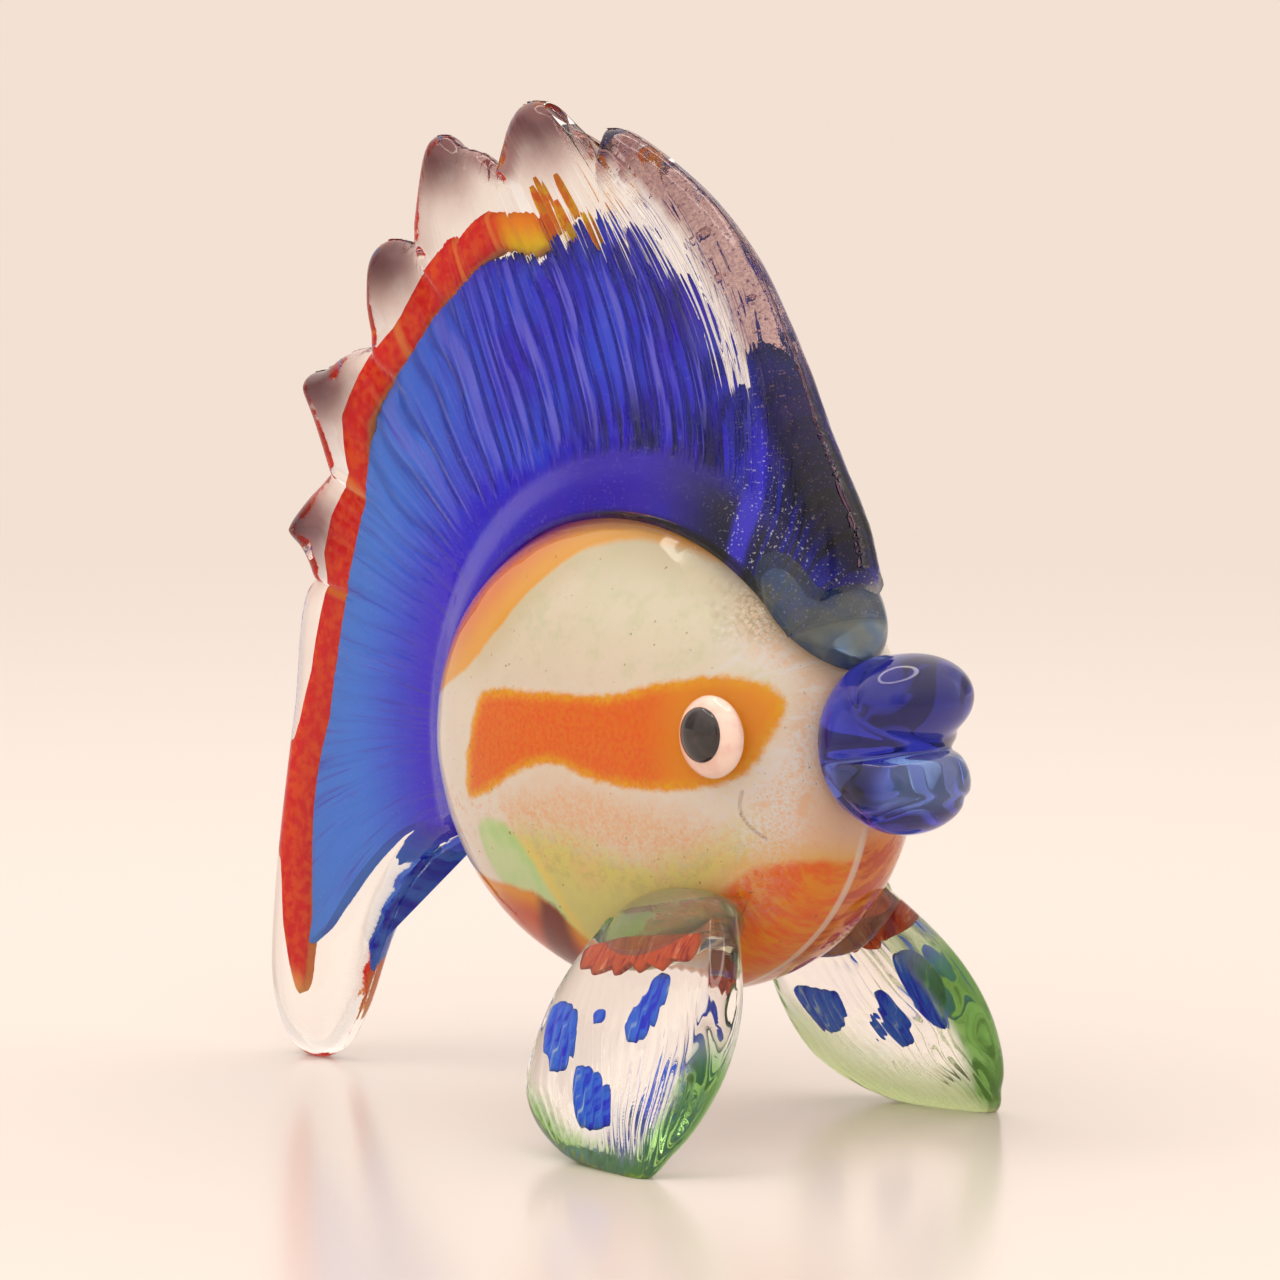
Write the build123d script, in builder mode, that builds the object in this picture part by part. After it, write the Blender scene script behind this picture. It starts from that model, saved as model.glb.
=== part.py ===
from build123d import *
import math
import os

# A lampworked glass fish about 80 mm high. It stands on three points: the tips of its
# two pectoral fins and the tip of its tail, which are ground flat where they touch.
# The body is a flattened clear pebble over a pale core with coloured inlays. A tall
# crest, one pressed web of clear glass over a blue sheet and a red band, runs from the
# forehead over the back and down into the tail.
# Frame: +X is the way the fish faces, +Y its left side, +Z up, in millimetres. The
# origin is on the table, under the middle of the fish.
# Every piece is modelled about the middle of the body, and moved to that frame last.

# Body
body_length = 44.0
body_height = 38.6
body_thickness = 23.6
body_pitch = 5.0  # degrees, nose down
fullness = 2.6  # exponent of the pebble's outline from above: 2 is an ellipse
stance = 29.6  # the middle of the body above the table
casing_wall = 1.7
inlay_depth = 1.1
layer_gap = 0.04  # between the casing, the inlays and the core
pebble_steps = 7  # points on a quarter of the pebble's section

# Colour inlays under the casing, as shares of half the body's length and height
rim_band_width = 9.0
back_band_from, back_band_to = 38.0, 168.0  # degrees up from the nose
keel_band_from, keel_band_to = 206.0, 342.0
stripe_shares = [
    (-0.56, -0.12), (-0.55, 0.15), (-0.48, 0.24), (0.0, 0.27), (0.35, 0.33),
    (0.68, 0.35), (0.82, 0.24), (0.72, 0.08), (0.55, -0.03), (0.30, -0.08), (-0.20, -0.08),
]
belly_shares = [
    (-0.62, -0.36), (-0.42, -0.30), (-0.10, -0.37), (0.25, -0.40), (0.44, -0.34),
    (0.40, -0.52), (0.18, -0.62), (-0.10, -0.66), (-0.40, -0.60),
]
chin_shares = [
    (0.46, -0.68), (0.56, -0.44), (0.74, -0.26), (0.84, -0.30), (0.78, -0.46), (0.62, -0.62),
]

# Crest: heights stand out from the body's rim, and angles go up from the nose
crest_reach = 31.4
crest_root_thickness = 10.4
crest_neck_thickness = 6.4
crest_web_thickness = 4.8
crest_edge_thickness = 2.9
crest_casing = 0.7
neck_share, web_share, edge_share, past_edge_share = 0.16, 0.42, 1.0, 1.4
front_edge_shares = [
    (38.5, -0.15), (38.0, 0.12), (45.0, 0.211), (59.8, 0.347), (71.9, 0.548),
    (84.2, 0.777), (92.0, 0.885), (97.4, 0.958),
]
notch_shares = [
    (98.9, 0.885), (112.7, 0.928), (126.4, 0.887), (138.1, 0.797), (153.1, 0.73), (164.9, 0.675),
]
tip_shares = [(106.1, 1.062), (118.7, 1.101), (131.4, 0.985), (147.2, 0.937), (161.9, 0.808)]
shoulder_share, shoulder_rise_share, heel_share, heel_rise_share = 0.55, 0.28, 0.45, 0.72

# Tail: shares of its reach behind the body's middle, and of the stance
tail_length = 47.4
tail_back_shares = [
    (-0.911, 0.30), (-0.922, 0.10), (-0.943, -0.11), (-0.970, -0.36), (-0.994, -0.60), (-1.0, -0.75),
    (-0.975, -0.90), (-0.925, -0.985), (-0.876, -1.01), (-0.825, -0.97), (-0.77, -0.86), (-0.725, -0.72),
    (-0.66, -0.58), (-0.57, -0.475), (-0.45, -0.36), (-0.30, -0.22),
]

# Colours inside the crest
blue_crest_shares = [
    (40.0, -0.12), (43.0, 0.10), (52.0, 0.22), (62.0, 0.315), (68.5, 0.385), (72.0, 0.36), (76.0, 0.30),
    (84.0, 0.37), (91.0, 0.46), (97.6, 0.57), (106.0, 0.65), (115.0, 0.715), (124.0, 0.725), (137.0, 0.66),
    (149.0, 0.565), (161.8, 0.50), (173.0, 0.495),
]
blue_tail_shares = [(-0.812, -0.03), (-0.865, -0.27), (-0.878, -0.45), (-0.894, -0.68)]
blue_return_shares = [
    (-0.870, -0.745), (-0.80, -0.635), (-0.745, -0.515), (-0.656, -0.42), (-0.575, -0.385),
    (-0.45, -0.26), (-0.30, -0.12),
]
streak_width = 1.4
streak_edge = 0.8
streak_start = 10  # the point of the tail's outline where the streak begins
red_band_gap = 0.45
red_band_width = 3.3
red_band_start = 7  # the point of the blue edge where the red band begins
tip_tint_radius = 4.2
front_tint_width = 3.0
front_tint_from = 4  # the point of the front edge where its tint begins

# Drop of glass on the forehead, where the crest starts
drop_length, drop_width, drop_height = 13.0, 11.0, 6.4
drop_angle = 37.0  # degrees up from the nose
drop_slope = 47.0  # degrees, how far it dips forward

# Lips
lips_length, lips_width, lips_height = 9.0, 12.4, 12.6
lips_rise = 2.6
lips_seat = 1.6  # how far the middle of the lips stands out from the nose
lip_depth, lip_width = 8.0, 11.2
upper_lip_height, lower_lip_height = 7.3, 7.7
lip_parting = 0.7  # how much nearer the lips' middles are than if they only met
lip_forward = 1.7

# Eyes
eye_diameter, eye_bulge = 6.4, 1.5
pupil_diameter, pupil_bulge = 4.1, 0.8
eye_x_share, eye_z_share = 0.62, 0.165
pupil_rise = 0.25

# Pectoral fins: where each leaves the flank, and where its tip stands
fin_root_x_share, fin_root_z_share = 0.409, -0.674
fin_root_seat = 0.43  # how far the fin's root stands out from the flank
fin_tip_x, fin_tip_y = 16.3, 20.2
fin_turn = 4.0  # degrees, the leaf turned about its own length
fin_width = 20.4
fin_thickness, fin_tip_thickness = 5.8, 1.8
fin_outline_shares = [
    (0.26, -0.28), (0.335, 0.0), (0.37, 0.30), (0.36, 0.50), (0.315, 0.66), (0.235, 0.81), (0.12, 0.935), (0.0, 1.0),
    (-0.11, 0.975), (-0.25, 0.91), (-0.42, 0.80), (-0.56, 0.66), (-0.632, 0.50), (-0.61, 0.33), (-0.53, 0.15),
    (-0.42, -0.03), (-0.26, -0.28),
]
fin_middle_share, fin_centre_share = -0.13, 0.38
foot_flat = 0.3  # how much is ground off each fin's tip
root_pad_width, root_pad_length, root_pad_thickness = 13.0, 8.0, 7.4
root_band_from, root_band_to = 0.4, 2.4  # along the fin from its root
green_across_share, green_along_share = 0.78, 0.80
spot_places = [(-0.36, 0.37), (0.05, 0.38), (-0.17, 0.62)]  # shares of the fin's width and length
spot_width, spot_length, spot_thickness = 2.6, 4.6, 1.5
small_spot_place = (-0.165, 0.34)
small_spot_share = 0.36

# Shared by every cut
overrun = 5.0

half_length, half_height, half_thickness = body_length / 2, body_height / 2, body_thickness / 2
nose_reach = half_length + lips_seat + lip_forward + lip_depth / 2
body_x = (tail_length - nose_reach) / 2
to_table = Location((body_x, 0, stance))
pitch = Rotation(0, body_pitch, 0)


def rim_radius(angle):
    """Distance from the body's middle to its rim, at an angle up from the nose."""
    turn = math.radians(angle)
    return 1 / math.hypot(math.cos(turn) / half_length, math.sin(turn) / half_height)


def crest_point(angle, share, outward=0.0):
    """Point of the crest's plane that stands out from the body's rim by a share of the reach."""
    turn = math.radians(angle)
    radius = rim_radius(angle) + share * crest_reach + outward
    return (radius * math.cos(turn), radius * math.sin(turn))


def tail_point(x_share, z_share, outward=0.0):
    """Point of the tail, measured back from the body's middle and down to the table."""
    return (x_share * tail_length - outward, z_share * stance)


def body_point(x_share, z_share):
    """Point of the flank seen from the side, as shares of the body's half sizes."""
    return (x_share * half_length, z_share * half_height)


def flank_depth(x, z, length, height, thickness):
    """How far the flank stands out from the middle plane at a point seen from the side."""
    tilt = math.radians(body_pitch)
    along = x * math.cos(tilt) - z * math.sin(tilt)
    up = x * math.sin(tilt) + z * math.cos(tilt)
    share = math.hypot(2 * along / length, 2 * up / height)
    return thickness / 2 * (1 - share**fullness) ** (1 / fullness)


def pebble(length, height, thickness):
    """Flattened oval of glass: a turned disc with full faces, stretched along its length."""
    face, back = [], []
    for step in range(pebble_steps):
        turn = math.pi / 2 * step / (pebble_steps - 1)
        radius = height / 2 * math.sin(turn) ** (2 / fullness)
        depth = thickness / 2 * math.cos(turn) ** (2 / fullness)
        face.append((-radius, depth))
        back.append((-radius, -depth))
    face[-1] = (-height / 2, 0)
    with BuildPart() as disc:
        with BuildSketch(Plane.XY):
            with BuildLine():
                Spline(*face, *back[-2::-1], tangents=[(-1, 0), (1, 0)])
                Line(back[0], face[0])
            make_face()
        revolve(axis=Axis.Y)
        scale(by=(length / height, 1, 1))
    return pitch * disc.part


def ellipsoid(length, width, height):
    """Rounded drop of glass of three sizes."""
    with BuildPart() as drop:
        Sphere(1, rotation=(90, 0, 0))
        scale(by=(length / 2, width / 2, height / 2))
    return drop.part


def turned_web(casing):
    """Web that thins outward from the body, less a casing taken off both of its faces."""
    places = [0.0, half_height] + [
        half_height + share * crest_reach for share in (neck_share, web_share, edge_share, past_edge_share)
    ]
    halves = [
        size / 2 - casing
        for size in (
            crest_root_thickness, crest_root_thickness, crest_neck_thickness,
            crest_web_thickness, crest_edge_thickness, crest_edge_thickness,
        )
    ]
    face = list(zip(places, halves))
    back = [(place, -half) for place, half in reversed(face)]
    with BuildPart() as web:
        with BuildSketch(Plane.XY):
            with BuildLine():
                Line(face[0], face[1])
                Spline(*face[1:], tangents=[(1, 0), (1, 0)])
                Line(face[-1], back[0])
                Spline(*back[:-1], tangents=[(-1, 0), (-1, 0)])
                Line(back[-2], back[-1])
                Line(back[-1], face[0])
            make_face()
        revolve(axis=Axis.Y)
    return web.part


def crest_prism(line_maker):
    """Closed outline in the crest's plane, made by line_maker, as a prism right through the crest."""
    with BuildPart() as prism:
        with BuildSketch(Plane.XZ):
            with BuildLine():
                line_maker()
            make_face()
        extrude(amount=crest_root_thickness, both=True)
    return prism.part


def crest_outline():
    """Front edge, a row of pressed lobes, and the tail."""
    front = [crest_point(*place) for place in front_edge_shares]
    Line(front[0], front[1])
    Spline(*front[1:])
    last = front[-1]
    notches = [crest_point(*place) for place in notch_shares]
    Line(last, notches[0])
    for start, tip_place, end in zip(notches, tip_shares, notches[1:]):
        tip = crest_point(*tip_place)
        shoulder = (
            start[0] + shoulder_share * (tip[0] - start[0]),
            start[1] + shoulder_rise_share * (tip[1] - start[1]),
        )
        heel = (
            tip[0] + heel_rise_share * (end[0] - tip[0]),
            tip[1] + heel_share * (end[1] - tip[1]),
        )
        Spline(start, shoulder, tip, heel, end)
    tail = [tail_point(*place) for place in tail_back_shares]
    Spline(notches[-1], *tail)
    Line(tail[-1], front[0])


def blue_outline():
    """The blue sheet's edge, from the forehead over the back to the tail, and back under the body."""
    edge = [crest_point(*place) for place in blue_crest_shares]
    edge += [tail_point(*place) for place in blue_tail_shares]
    lower = [tail_point(*place) for place in blue_return_shares]
    Spline(*edge)
    Line(edge[-1], lower[0])
    Spline(*lower)
    Line(lower[-1], edge[0])


def tail_underside(inset):
    """Points of the tail's lower edge from the streak's tip to the body, moved into the tail."""
    edge = [tail_point(*place) for place in tail_back_shares[streak_start - 1:]]
    moved = []
    for before, here, after in zip(edge, edge[1:], edge[2:] + edge[-1:]):
        run, rise = after[0] - before[0], after[1] - before[1]
        stride = math.hypot(run, rise)
        moved.append((here[0] - inset * rise / stride, here[1] + inset * run / stride))
    return moved


def streak_outline():
    """The blue streak along the underside of the tail."""
    lower = tail_underside(streak_edge)
    upper = tail_underside(streak_edge + streak_width)
    Spline(*lower)
    Line(lower[-1], upper[-1])
    Spline(*reversed(upper[1:]), lower[0])


def red_outline():
    """The red band that follows the blue sheet's outer edge at an even gap."""
    inner, outer = [], []
    for place in blue_crest_shares[red_band_start:]:
        inner.append(crest_point(*place, red_band_gap))
        outer.append(crest_point(*place, red_band_gap + red_band_width))
    for place in blue_tail_shares:
        inner.append(tail_point(*place, red_band_gap))
        outer.append(tail_point(*place, red_band_gap + red_band_width))
    Spline(*inner)
    Line(inner[-1], outer[-1])
    Spline(*reversed(outer))
    Line(outer[0], inner[0])


def front_tint_outline():
    """The tinted strip along the crest's front edge."""
    inner = [crest_point(*place, -front_tint_width) for place in front_edge_shares[front_tint_from:]]
    outer = [crest_point(*place, overrun) for place in front_edge_shares[front_tint_from:]]
    Spline(*inner)
    Line(inner[-1], outer[-1])
    Spline(*reversed(outer))
    Line(outer[0], inner[0])


# Shapes that several pieces share
outer_body = pebble(body_length, body_height, body_thickness)
casing_hollow, inlay_outside, inlay_inside, inner_core = [
    pebble(body_length - 2 * depth, body_height - 2 * depth, body_thickness - 2 * depth)
    for depth in (
        casing_wall, casing_wall + layer_gap,
        casing_wall + layer_gap + inlay_depth, casing_wall + 2 * layer_gap + inlay_depth,
    )
]
with BuildPart() as inlay_layer:
    add(inlay_outside)
    add(inlay_inside, mode=Mode.SUBTRACT)
# The body's front and back halves: a cut by both holds for more sizes than a cut by the whole
body_halves = [split(outer_body, bisect_by=Plane.YZ, keep=half) for half in (Keep.TOP, Keep.BOTTOM)]


def clear_of_body():
    """Cuts the body's shape out of the piece that is being built."""
    for half in body_halves:
        add(half, mode=Mode.SUBTRACT)


def flank_prism(shares):
    """Outline of an inlay seen from the side, as a prism through the right flank."""
    with BuildPart() as prism:
        with BuildSketch(Plane.XZ.offset(rim_band_width / 2)):
            with BuildLine():
                Spline(*[body_point(*share) for share in shares], periodic=True)
            make_face()
        extrude(amount=body_thickness)
    return prism.part


def rim_prism(start, end):
    """Sector between two angles up from the nose, as a slab along the body's middle plane."""
    reach = body_length
    middle = (start + end) / 2
    turns = [math.radians(angle) for angle in (start, middle, end)]
    corners = [(reach * math.cos(turn), reach * math.sin(turn)) for turn in turns]
    with BuildPart() as prism:
        with BuildSketch(Plane.XZ):
            with BuildLine():
                Line((0, 0), corners[0])
                ThreePointArc(*corners)
                Line(corners[2], (0, 0))
            make_face()
        extrude(amount=rim_band_width / 2, both=True)
    return prism.part


pieces = {}

# Body: a clear casing, a pale ground colour with the other colours laid into it, and a core
with BuildPart() as body_casing:
    add(outer_body)
    add(casing_hollow, mode=Mode.SUBTRACT)
pieces["body_casing"] = body_casing.part
pieces["body_core"] = inner_core

inlay_prisms = {
    "back_band": rim_prism(back_band_from, back_band_to),
    "keel_band": rim_prism(keel_band_from, keel_band_to),
}
for name, shares in (("flank_stripe", stripe_shares), ("belly_patch", belly_shares), ("chin_patch", chin_shares)):
    inlay_prisms[name] = flank_prism(shares)
for name, prism in inlay_prisms.items():
    with BuildPart() as inlay:
        add(inlay_layer.part)
        add(prism, mode=Mode.INTERSECT)
    if name.endswith("_band"):
        pieces[name] = inlay.part
    else:
        pieces[name + "_right"] = inlay.part
        pieces[name + "_left"] = inlay.part.mirror(Plane.XZ)
with BuildPart() as body_ground:
    add(inlay_layer.part)
    for name, prism in inlay_prisms.items():
        add(prism, mode=Mode.SUBTRACT)
        if not name.endswith("_band"):
            add(prism.mirror(Plane.XZ), mode=Mode.SUBTRACT)
pieces["body_ground"] = body_ground.part

# Eyes: a white dot fused to each flank, and a black dot fused to it
eye_x, eye_z = body_point(eye_x_share, eye_z_share)
eye_y = flank_depth(eye_x, eye_z, body_length, body_height, body_thickness)
with BuildPart() as eye_white:
    add(Location((eye_x, -eye_y, eye_z)) * ellipsoid(eye_diameter, 2 * eye_bulge, eye_diameter))
    add(outer_body, mode=Mode.SUBTRACT)
with BuildPart() as pupil:
    pupil_y = eye_y + eye_bulge - pupil_rise
    add(Location((eye_x, -pupil_y, eye_z)) * ellipsoid(pupil_diameter, 2 * pupil_bulge, pupil_diameter))
    add(Location((eye_x, -eye_y, eye_z)) * ellipsoid(eye_diameter, 2 * eye_bulge, eye_diameter), mode=Mode.SUBTRACT)
for name, dot in (("eye_white", eye_white.part), ("pupil", pupil.part)):
    pieces[name + "_right"] = dot
    pieces[name + "_left"] = dot.mirror(Plane.XZ)

# Lips: one drop on the nose, creased across into two
lips_x = half_length + lips_seat
with BuildPart() as lips:
    add(Location((lips_x, 0, lips_rise)) * ellipsoid(lips_length, lips_width, lips_height))
    for height, side in ((upper_lip_height, 1), (lower_lip_height, -1)):
        rise = lips_rise + side * (height - lip_parting) / 2
        add(Location((lips_x + lip_forward, 0, rise)) * ellipsoid(lip_depth, lip_width, height))
    add(outer_body, mode=Mode.SUBTRACT)
pieces["lips"] = lips.part

# Crest: the drop on the forehead, the clear web, and the colours inside it
drop_seat = crest_point(drop_angle, 0)
with BuildPart() as crest_foot:
    add(Location((drop_seat[0], 0, drop_seat[1]), (0, drop_slope, 0)) * ellipsoid(drop_length, drop_width, drop_height))
    add(outer_body, mode=Mode.SUBTRACT)
pieces["crest_foot"] = crest_foot.part

inner_web = turned_web(crest_casing)
colour_blanks = {}
for name, line_maker in (("blue", blue_outline), ("streak", streak_outline), ("red", red_outline)):
    with BuildPart() as blank:
        add(inner_web)
        add(crest_prism(line_maker), mode=Mode.INTERSECT)
    colour_blanks[name] = blank.part
with BuildPart() as tip_cutters:
    for place in tip_shares:
        x, z = crest_point(*place)
        with Locations(Location((x, 0, z), (90, 0, 0))):
            Cylinder(tip_tint_radius, 2 * crest_root_thickness)
with BuildPart() as blade:
    add(turned_web(0))
    add(crest_prism(crest_outline), mode=Mode.INTERSECT)
    split(bisect_by=Plane.XY.offset(-stance), keep=Keep.TOP)
front_cutter = crest_prism(front_tint_outline)

crest_blanks = {"crest_blue": colour_blanks["blue"] + colour_blanks["streak"], "crest_red": colour_blanks["red"]}
for name, cutter in (("crest_front_tint", front_cutter), ("crest_tips", tip_cutters.part)):
    with BuildPart() as tint:
        add(blade.part)
        add(cutter, mode=Mode.INTERSECT)
    crest_blanks[name] = tint.part
for name, blank in crest_blanks.items():
    with BuildPart() as piece:
        add(blank)
        clear_of_body()
        add(crest_foot.part, mode=Mode.SUBTRACT)
    pieces[name] = piece.part
with BuildPart() as crest_glass:
    add(blade.part)
    for cutter in (*colour_blanks.values(), *body_halves, crest_foot.part, front_cutter, tip_cutters.part):
        add(cutter, mode=Mode.SUBTRACT)
pieces["crest_glass"] = crest_glass.part

# Pectoral fins: a leaf of pressed glass from each lower flank down to the table
fin_root_x, fin_root_z = body_point(fin_root_x_share, fin_root_z_share)
fin_root_y = fin_root_seat + flank_depth(fin_root_x, fin_root_z, body_length, body_height, body_thickness)
fin_root = Vector(fin_root_x, -fin_root_y, fin_root_z)
fin_tip = Vector(fin_tip_x, -fin_tip_y, -stance - foot_flat)
fin_axis = (fin_tip - fin_root).normalized()
fin_length = (fin_tip - fin_root).length
level = Vector(1, 0, 0)
fin_across = (level - fin_axis * level.dot(fin_axis)).normalized().rotate(Axis((0, 0, 0), tuple(fin_axis)), fin_turn)
fin_plane = Plane(origin=fin_root, x_dir=fin_across, z_dir=fin_across.cross(fin_axis))


def fin_prism(across_share, along_share):
    """The fin's outline, drawn in towards its root by two shares, as a prism right through it."""
    places = [
        (x_share * across_share * fin_width, y_share * along_share * fin_length)
        for x_share, y_share in fin_outline_shares
    ]
    with BuildPart() as prism:
        with BuildSketch(fin_plane):
            with BuildLine():
                Spline(*places)
                Line(places[-1], places[0])
            make_face()
        extrude(amount=fin_thickness, both=True)
    return prism.part


def across_fin(start, end):
    """Slab across the fin between two distances along it."""
    with BuildPart() as slab:
        with BuildSketch(fin_plane):
            with Locations((0, (start + end) / 2)):
                Rectangle(2 * fin_width, end - start)
        extrude(amount=2 * fin_thickness, both=True)
    return slab.part


tip_reach = (1 - fin_centre_share) * fin_length
face_bulge = (fin_thickness - fin_tip_thickness) / 2
face_radius = (tip_reach**2 + face_bulge**2) / (2 * face_bulge)
with BuildPart() as leaf:
    add(fin_prism(1, 1))
    for side in (1, -1):
        out = side * (fin_thickness / 2 - face_radius)
        with Locations(fin_plane * Pos(fin_middle_share * fin_width, fin_centre_share * fin_length, out)):
            Sphere(face_radius, mode=Mode.INTERSECT)
    split(bisect_by=Plane.XY.offset(-stance), keep=Keep.TOP)
    clear_of_body()
with BuildPart() as fin_spots:
    for x_share, y_share in spot_places:
        place = Pos(x_share * fin_width, y_share * fin_length, 0)
        add(fin_plane * place * ellipsoid(spot_width, spot_length, spot_thickness))
    place = Pos(small_spot_place[0] * fin_width, small_spot_place[1] * fin_length, 0)
    small = [small_spot_share * size for size in (spot_length, spot_width, spot_thickness)]
    add(fin_plane * place * ellipsoid(*small))
with BuildPart() as pad_blank:
    add(fin_plane * ellipsoid(root_pad_width, root_pad_length, root_pad_thickness))
    add(across_fin(-fin_length, root_band_from), mode=Mode.INTERSECT)
with BuildPart() as fin_pad:
    add(pad_blank.part)
    clear_of_body()
with BuildPart() as fin_band:
    add(leaf.part)
    add(across_fin(root_band_to, 2 * fin_length), mode=Mode.SUBTRACT)
    add(pad_blank.part, mode=Mode.SUBTRACT)
with BuildPart() as fin_glass:
    add(leaf.part)
    add(fin_prism(green_across_share, green_along_share), mode=Mode.INTERSECT)
    add(across_fin(-fin_length, root_band_to), mode=Mode.SUBTRACT)
    add(fin_spots.part, mode=Mode.SUBTRACT)
with BuildPart() as fin_green:
    add(leaf.part)
    add(across_fin(-fin_length, root_band_to), mode=Mode.SUBTRACT)
    add(fin_prism(green_across_share, green_along_share), mode=Mode.SUBTRACT)

fin_parts = {
    "fin_pad": fin_pad, "fin_root_band": fin_band, "fin_glass": fin_glass,
    "fin_green_edge": fin_green, "fin_spots": fin_spots,
}
for name, builder in fin_parts.items():
    pieces[name + "_right"] = builder.part
    pieces[name + "_left"] = builder.part.mirror(Plane.XZ)

os.makedirs("parts", exist_ok=True)
for name, piece in pieces.items():
    placed = to_table * piece
    placed.label = name
    export_step(placed, "parts/" + name + ".step")
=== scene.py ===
"""Dresses the glass fish: clear casings, coloured glass inside them, ribs, bubbles and a pale studio.

Places are millimetres about the middle of the body, until to_row gives the frame's metres. X is the way
the fish faces and Z is up. Angles are degrees up from the nose, seen from the fish's right side.
"""

import math

import bmesh
import bpy
import numpy as np
from mathutils import Matrix, Vector

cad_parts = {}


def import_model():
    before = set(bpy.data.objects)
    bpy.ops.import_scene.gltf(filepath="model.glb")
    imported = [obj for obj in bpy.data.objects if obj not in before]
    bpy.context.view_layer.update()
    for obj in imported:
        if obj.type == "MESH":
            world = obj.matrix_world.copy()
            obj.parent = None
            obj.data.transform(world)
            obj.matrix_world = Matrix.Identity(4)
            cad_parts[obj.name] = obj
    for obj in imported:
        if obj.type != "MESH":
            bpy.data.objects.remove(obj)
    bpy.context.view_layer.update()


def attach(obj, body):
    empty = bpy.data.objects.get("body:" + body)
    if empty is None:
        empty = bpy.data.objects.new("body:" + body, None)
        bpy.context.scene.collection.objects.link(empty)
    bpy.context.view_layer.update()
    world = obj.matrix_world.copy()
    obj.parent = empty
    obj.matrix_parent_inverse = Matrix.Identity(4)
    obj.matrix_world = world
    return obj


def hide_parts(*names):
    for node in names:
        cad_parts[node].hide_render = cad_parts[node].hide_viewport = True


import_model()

# Sizes of the body, as the CAD has them
BODY_X, STANCE = 9.05, 29.6
HALF = np.array([22.0, 11.8, 19.3])
FULLNESS = 2.6
PITCH = math.radians(5.0)
CASING = 1.7

MM = 0.001
BUMP_DEPTH = 0.3 * MM

# How clear glass changes a colour under it: it adds a haze, and the lamp's colour and the two gains dim it
LAMPLIGHT = np.array((0.90, 0.80, 0.75))
HAZE, DARKEST = 0.03, 0.0015
GAIN_LOW, GAIN_HIGH = 0.364, 0.6


def to_row(points):
    """Millimetres about the body's middle to metres in the row frame."""
    return (np.asarray(points, float) + [BODY_X, 0, STANCE]) * MM


def srgb(*rgb):
    """A colour as it looks on screen, 0 to 255, to the linear numbers a shader takes."""
    c = np.array(rgb, float) / 255
    linear = np.where(c <= 0.04045, c / 12.92, ((c + 0.055) / 1.055) ** 2.4)
    return (*linear.tolist(), 1.0)


def deep(*rgb):
    """The base colour that looks like rgb once it lies under clear glass."""
    seen = np.clip(np.array(srgb(*rgb)[:3]) - HAZE, DARKEST, None) / LAMPLIGHT
    return (*np.clip(seen / (GAIN_LOW + GAIN_HIGH * seen), 0, 1).tolist(), 1.0)


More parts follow.
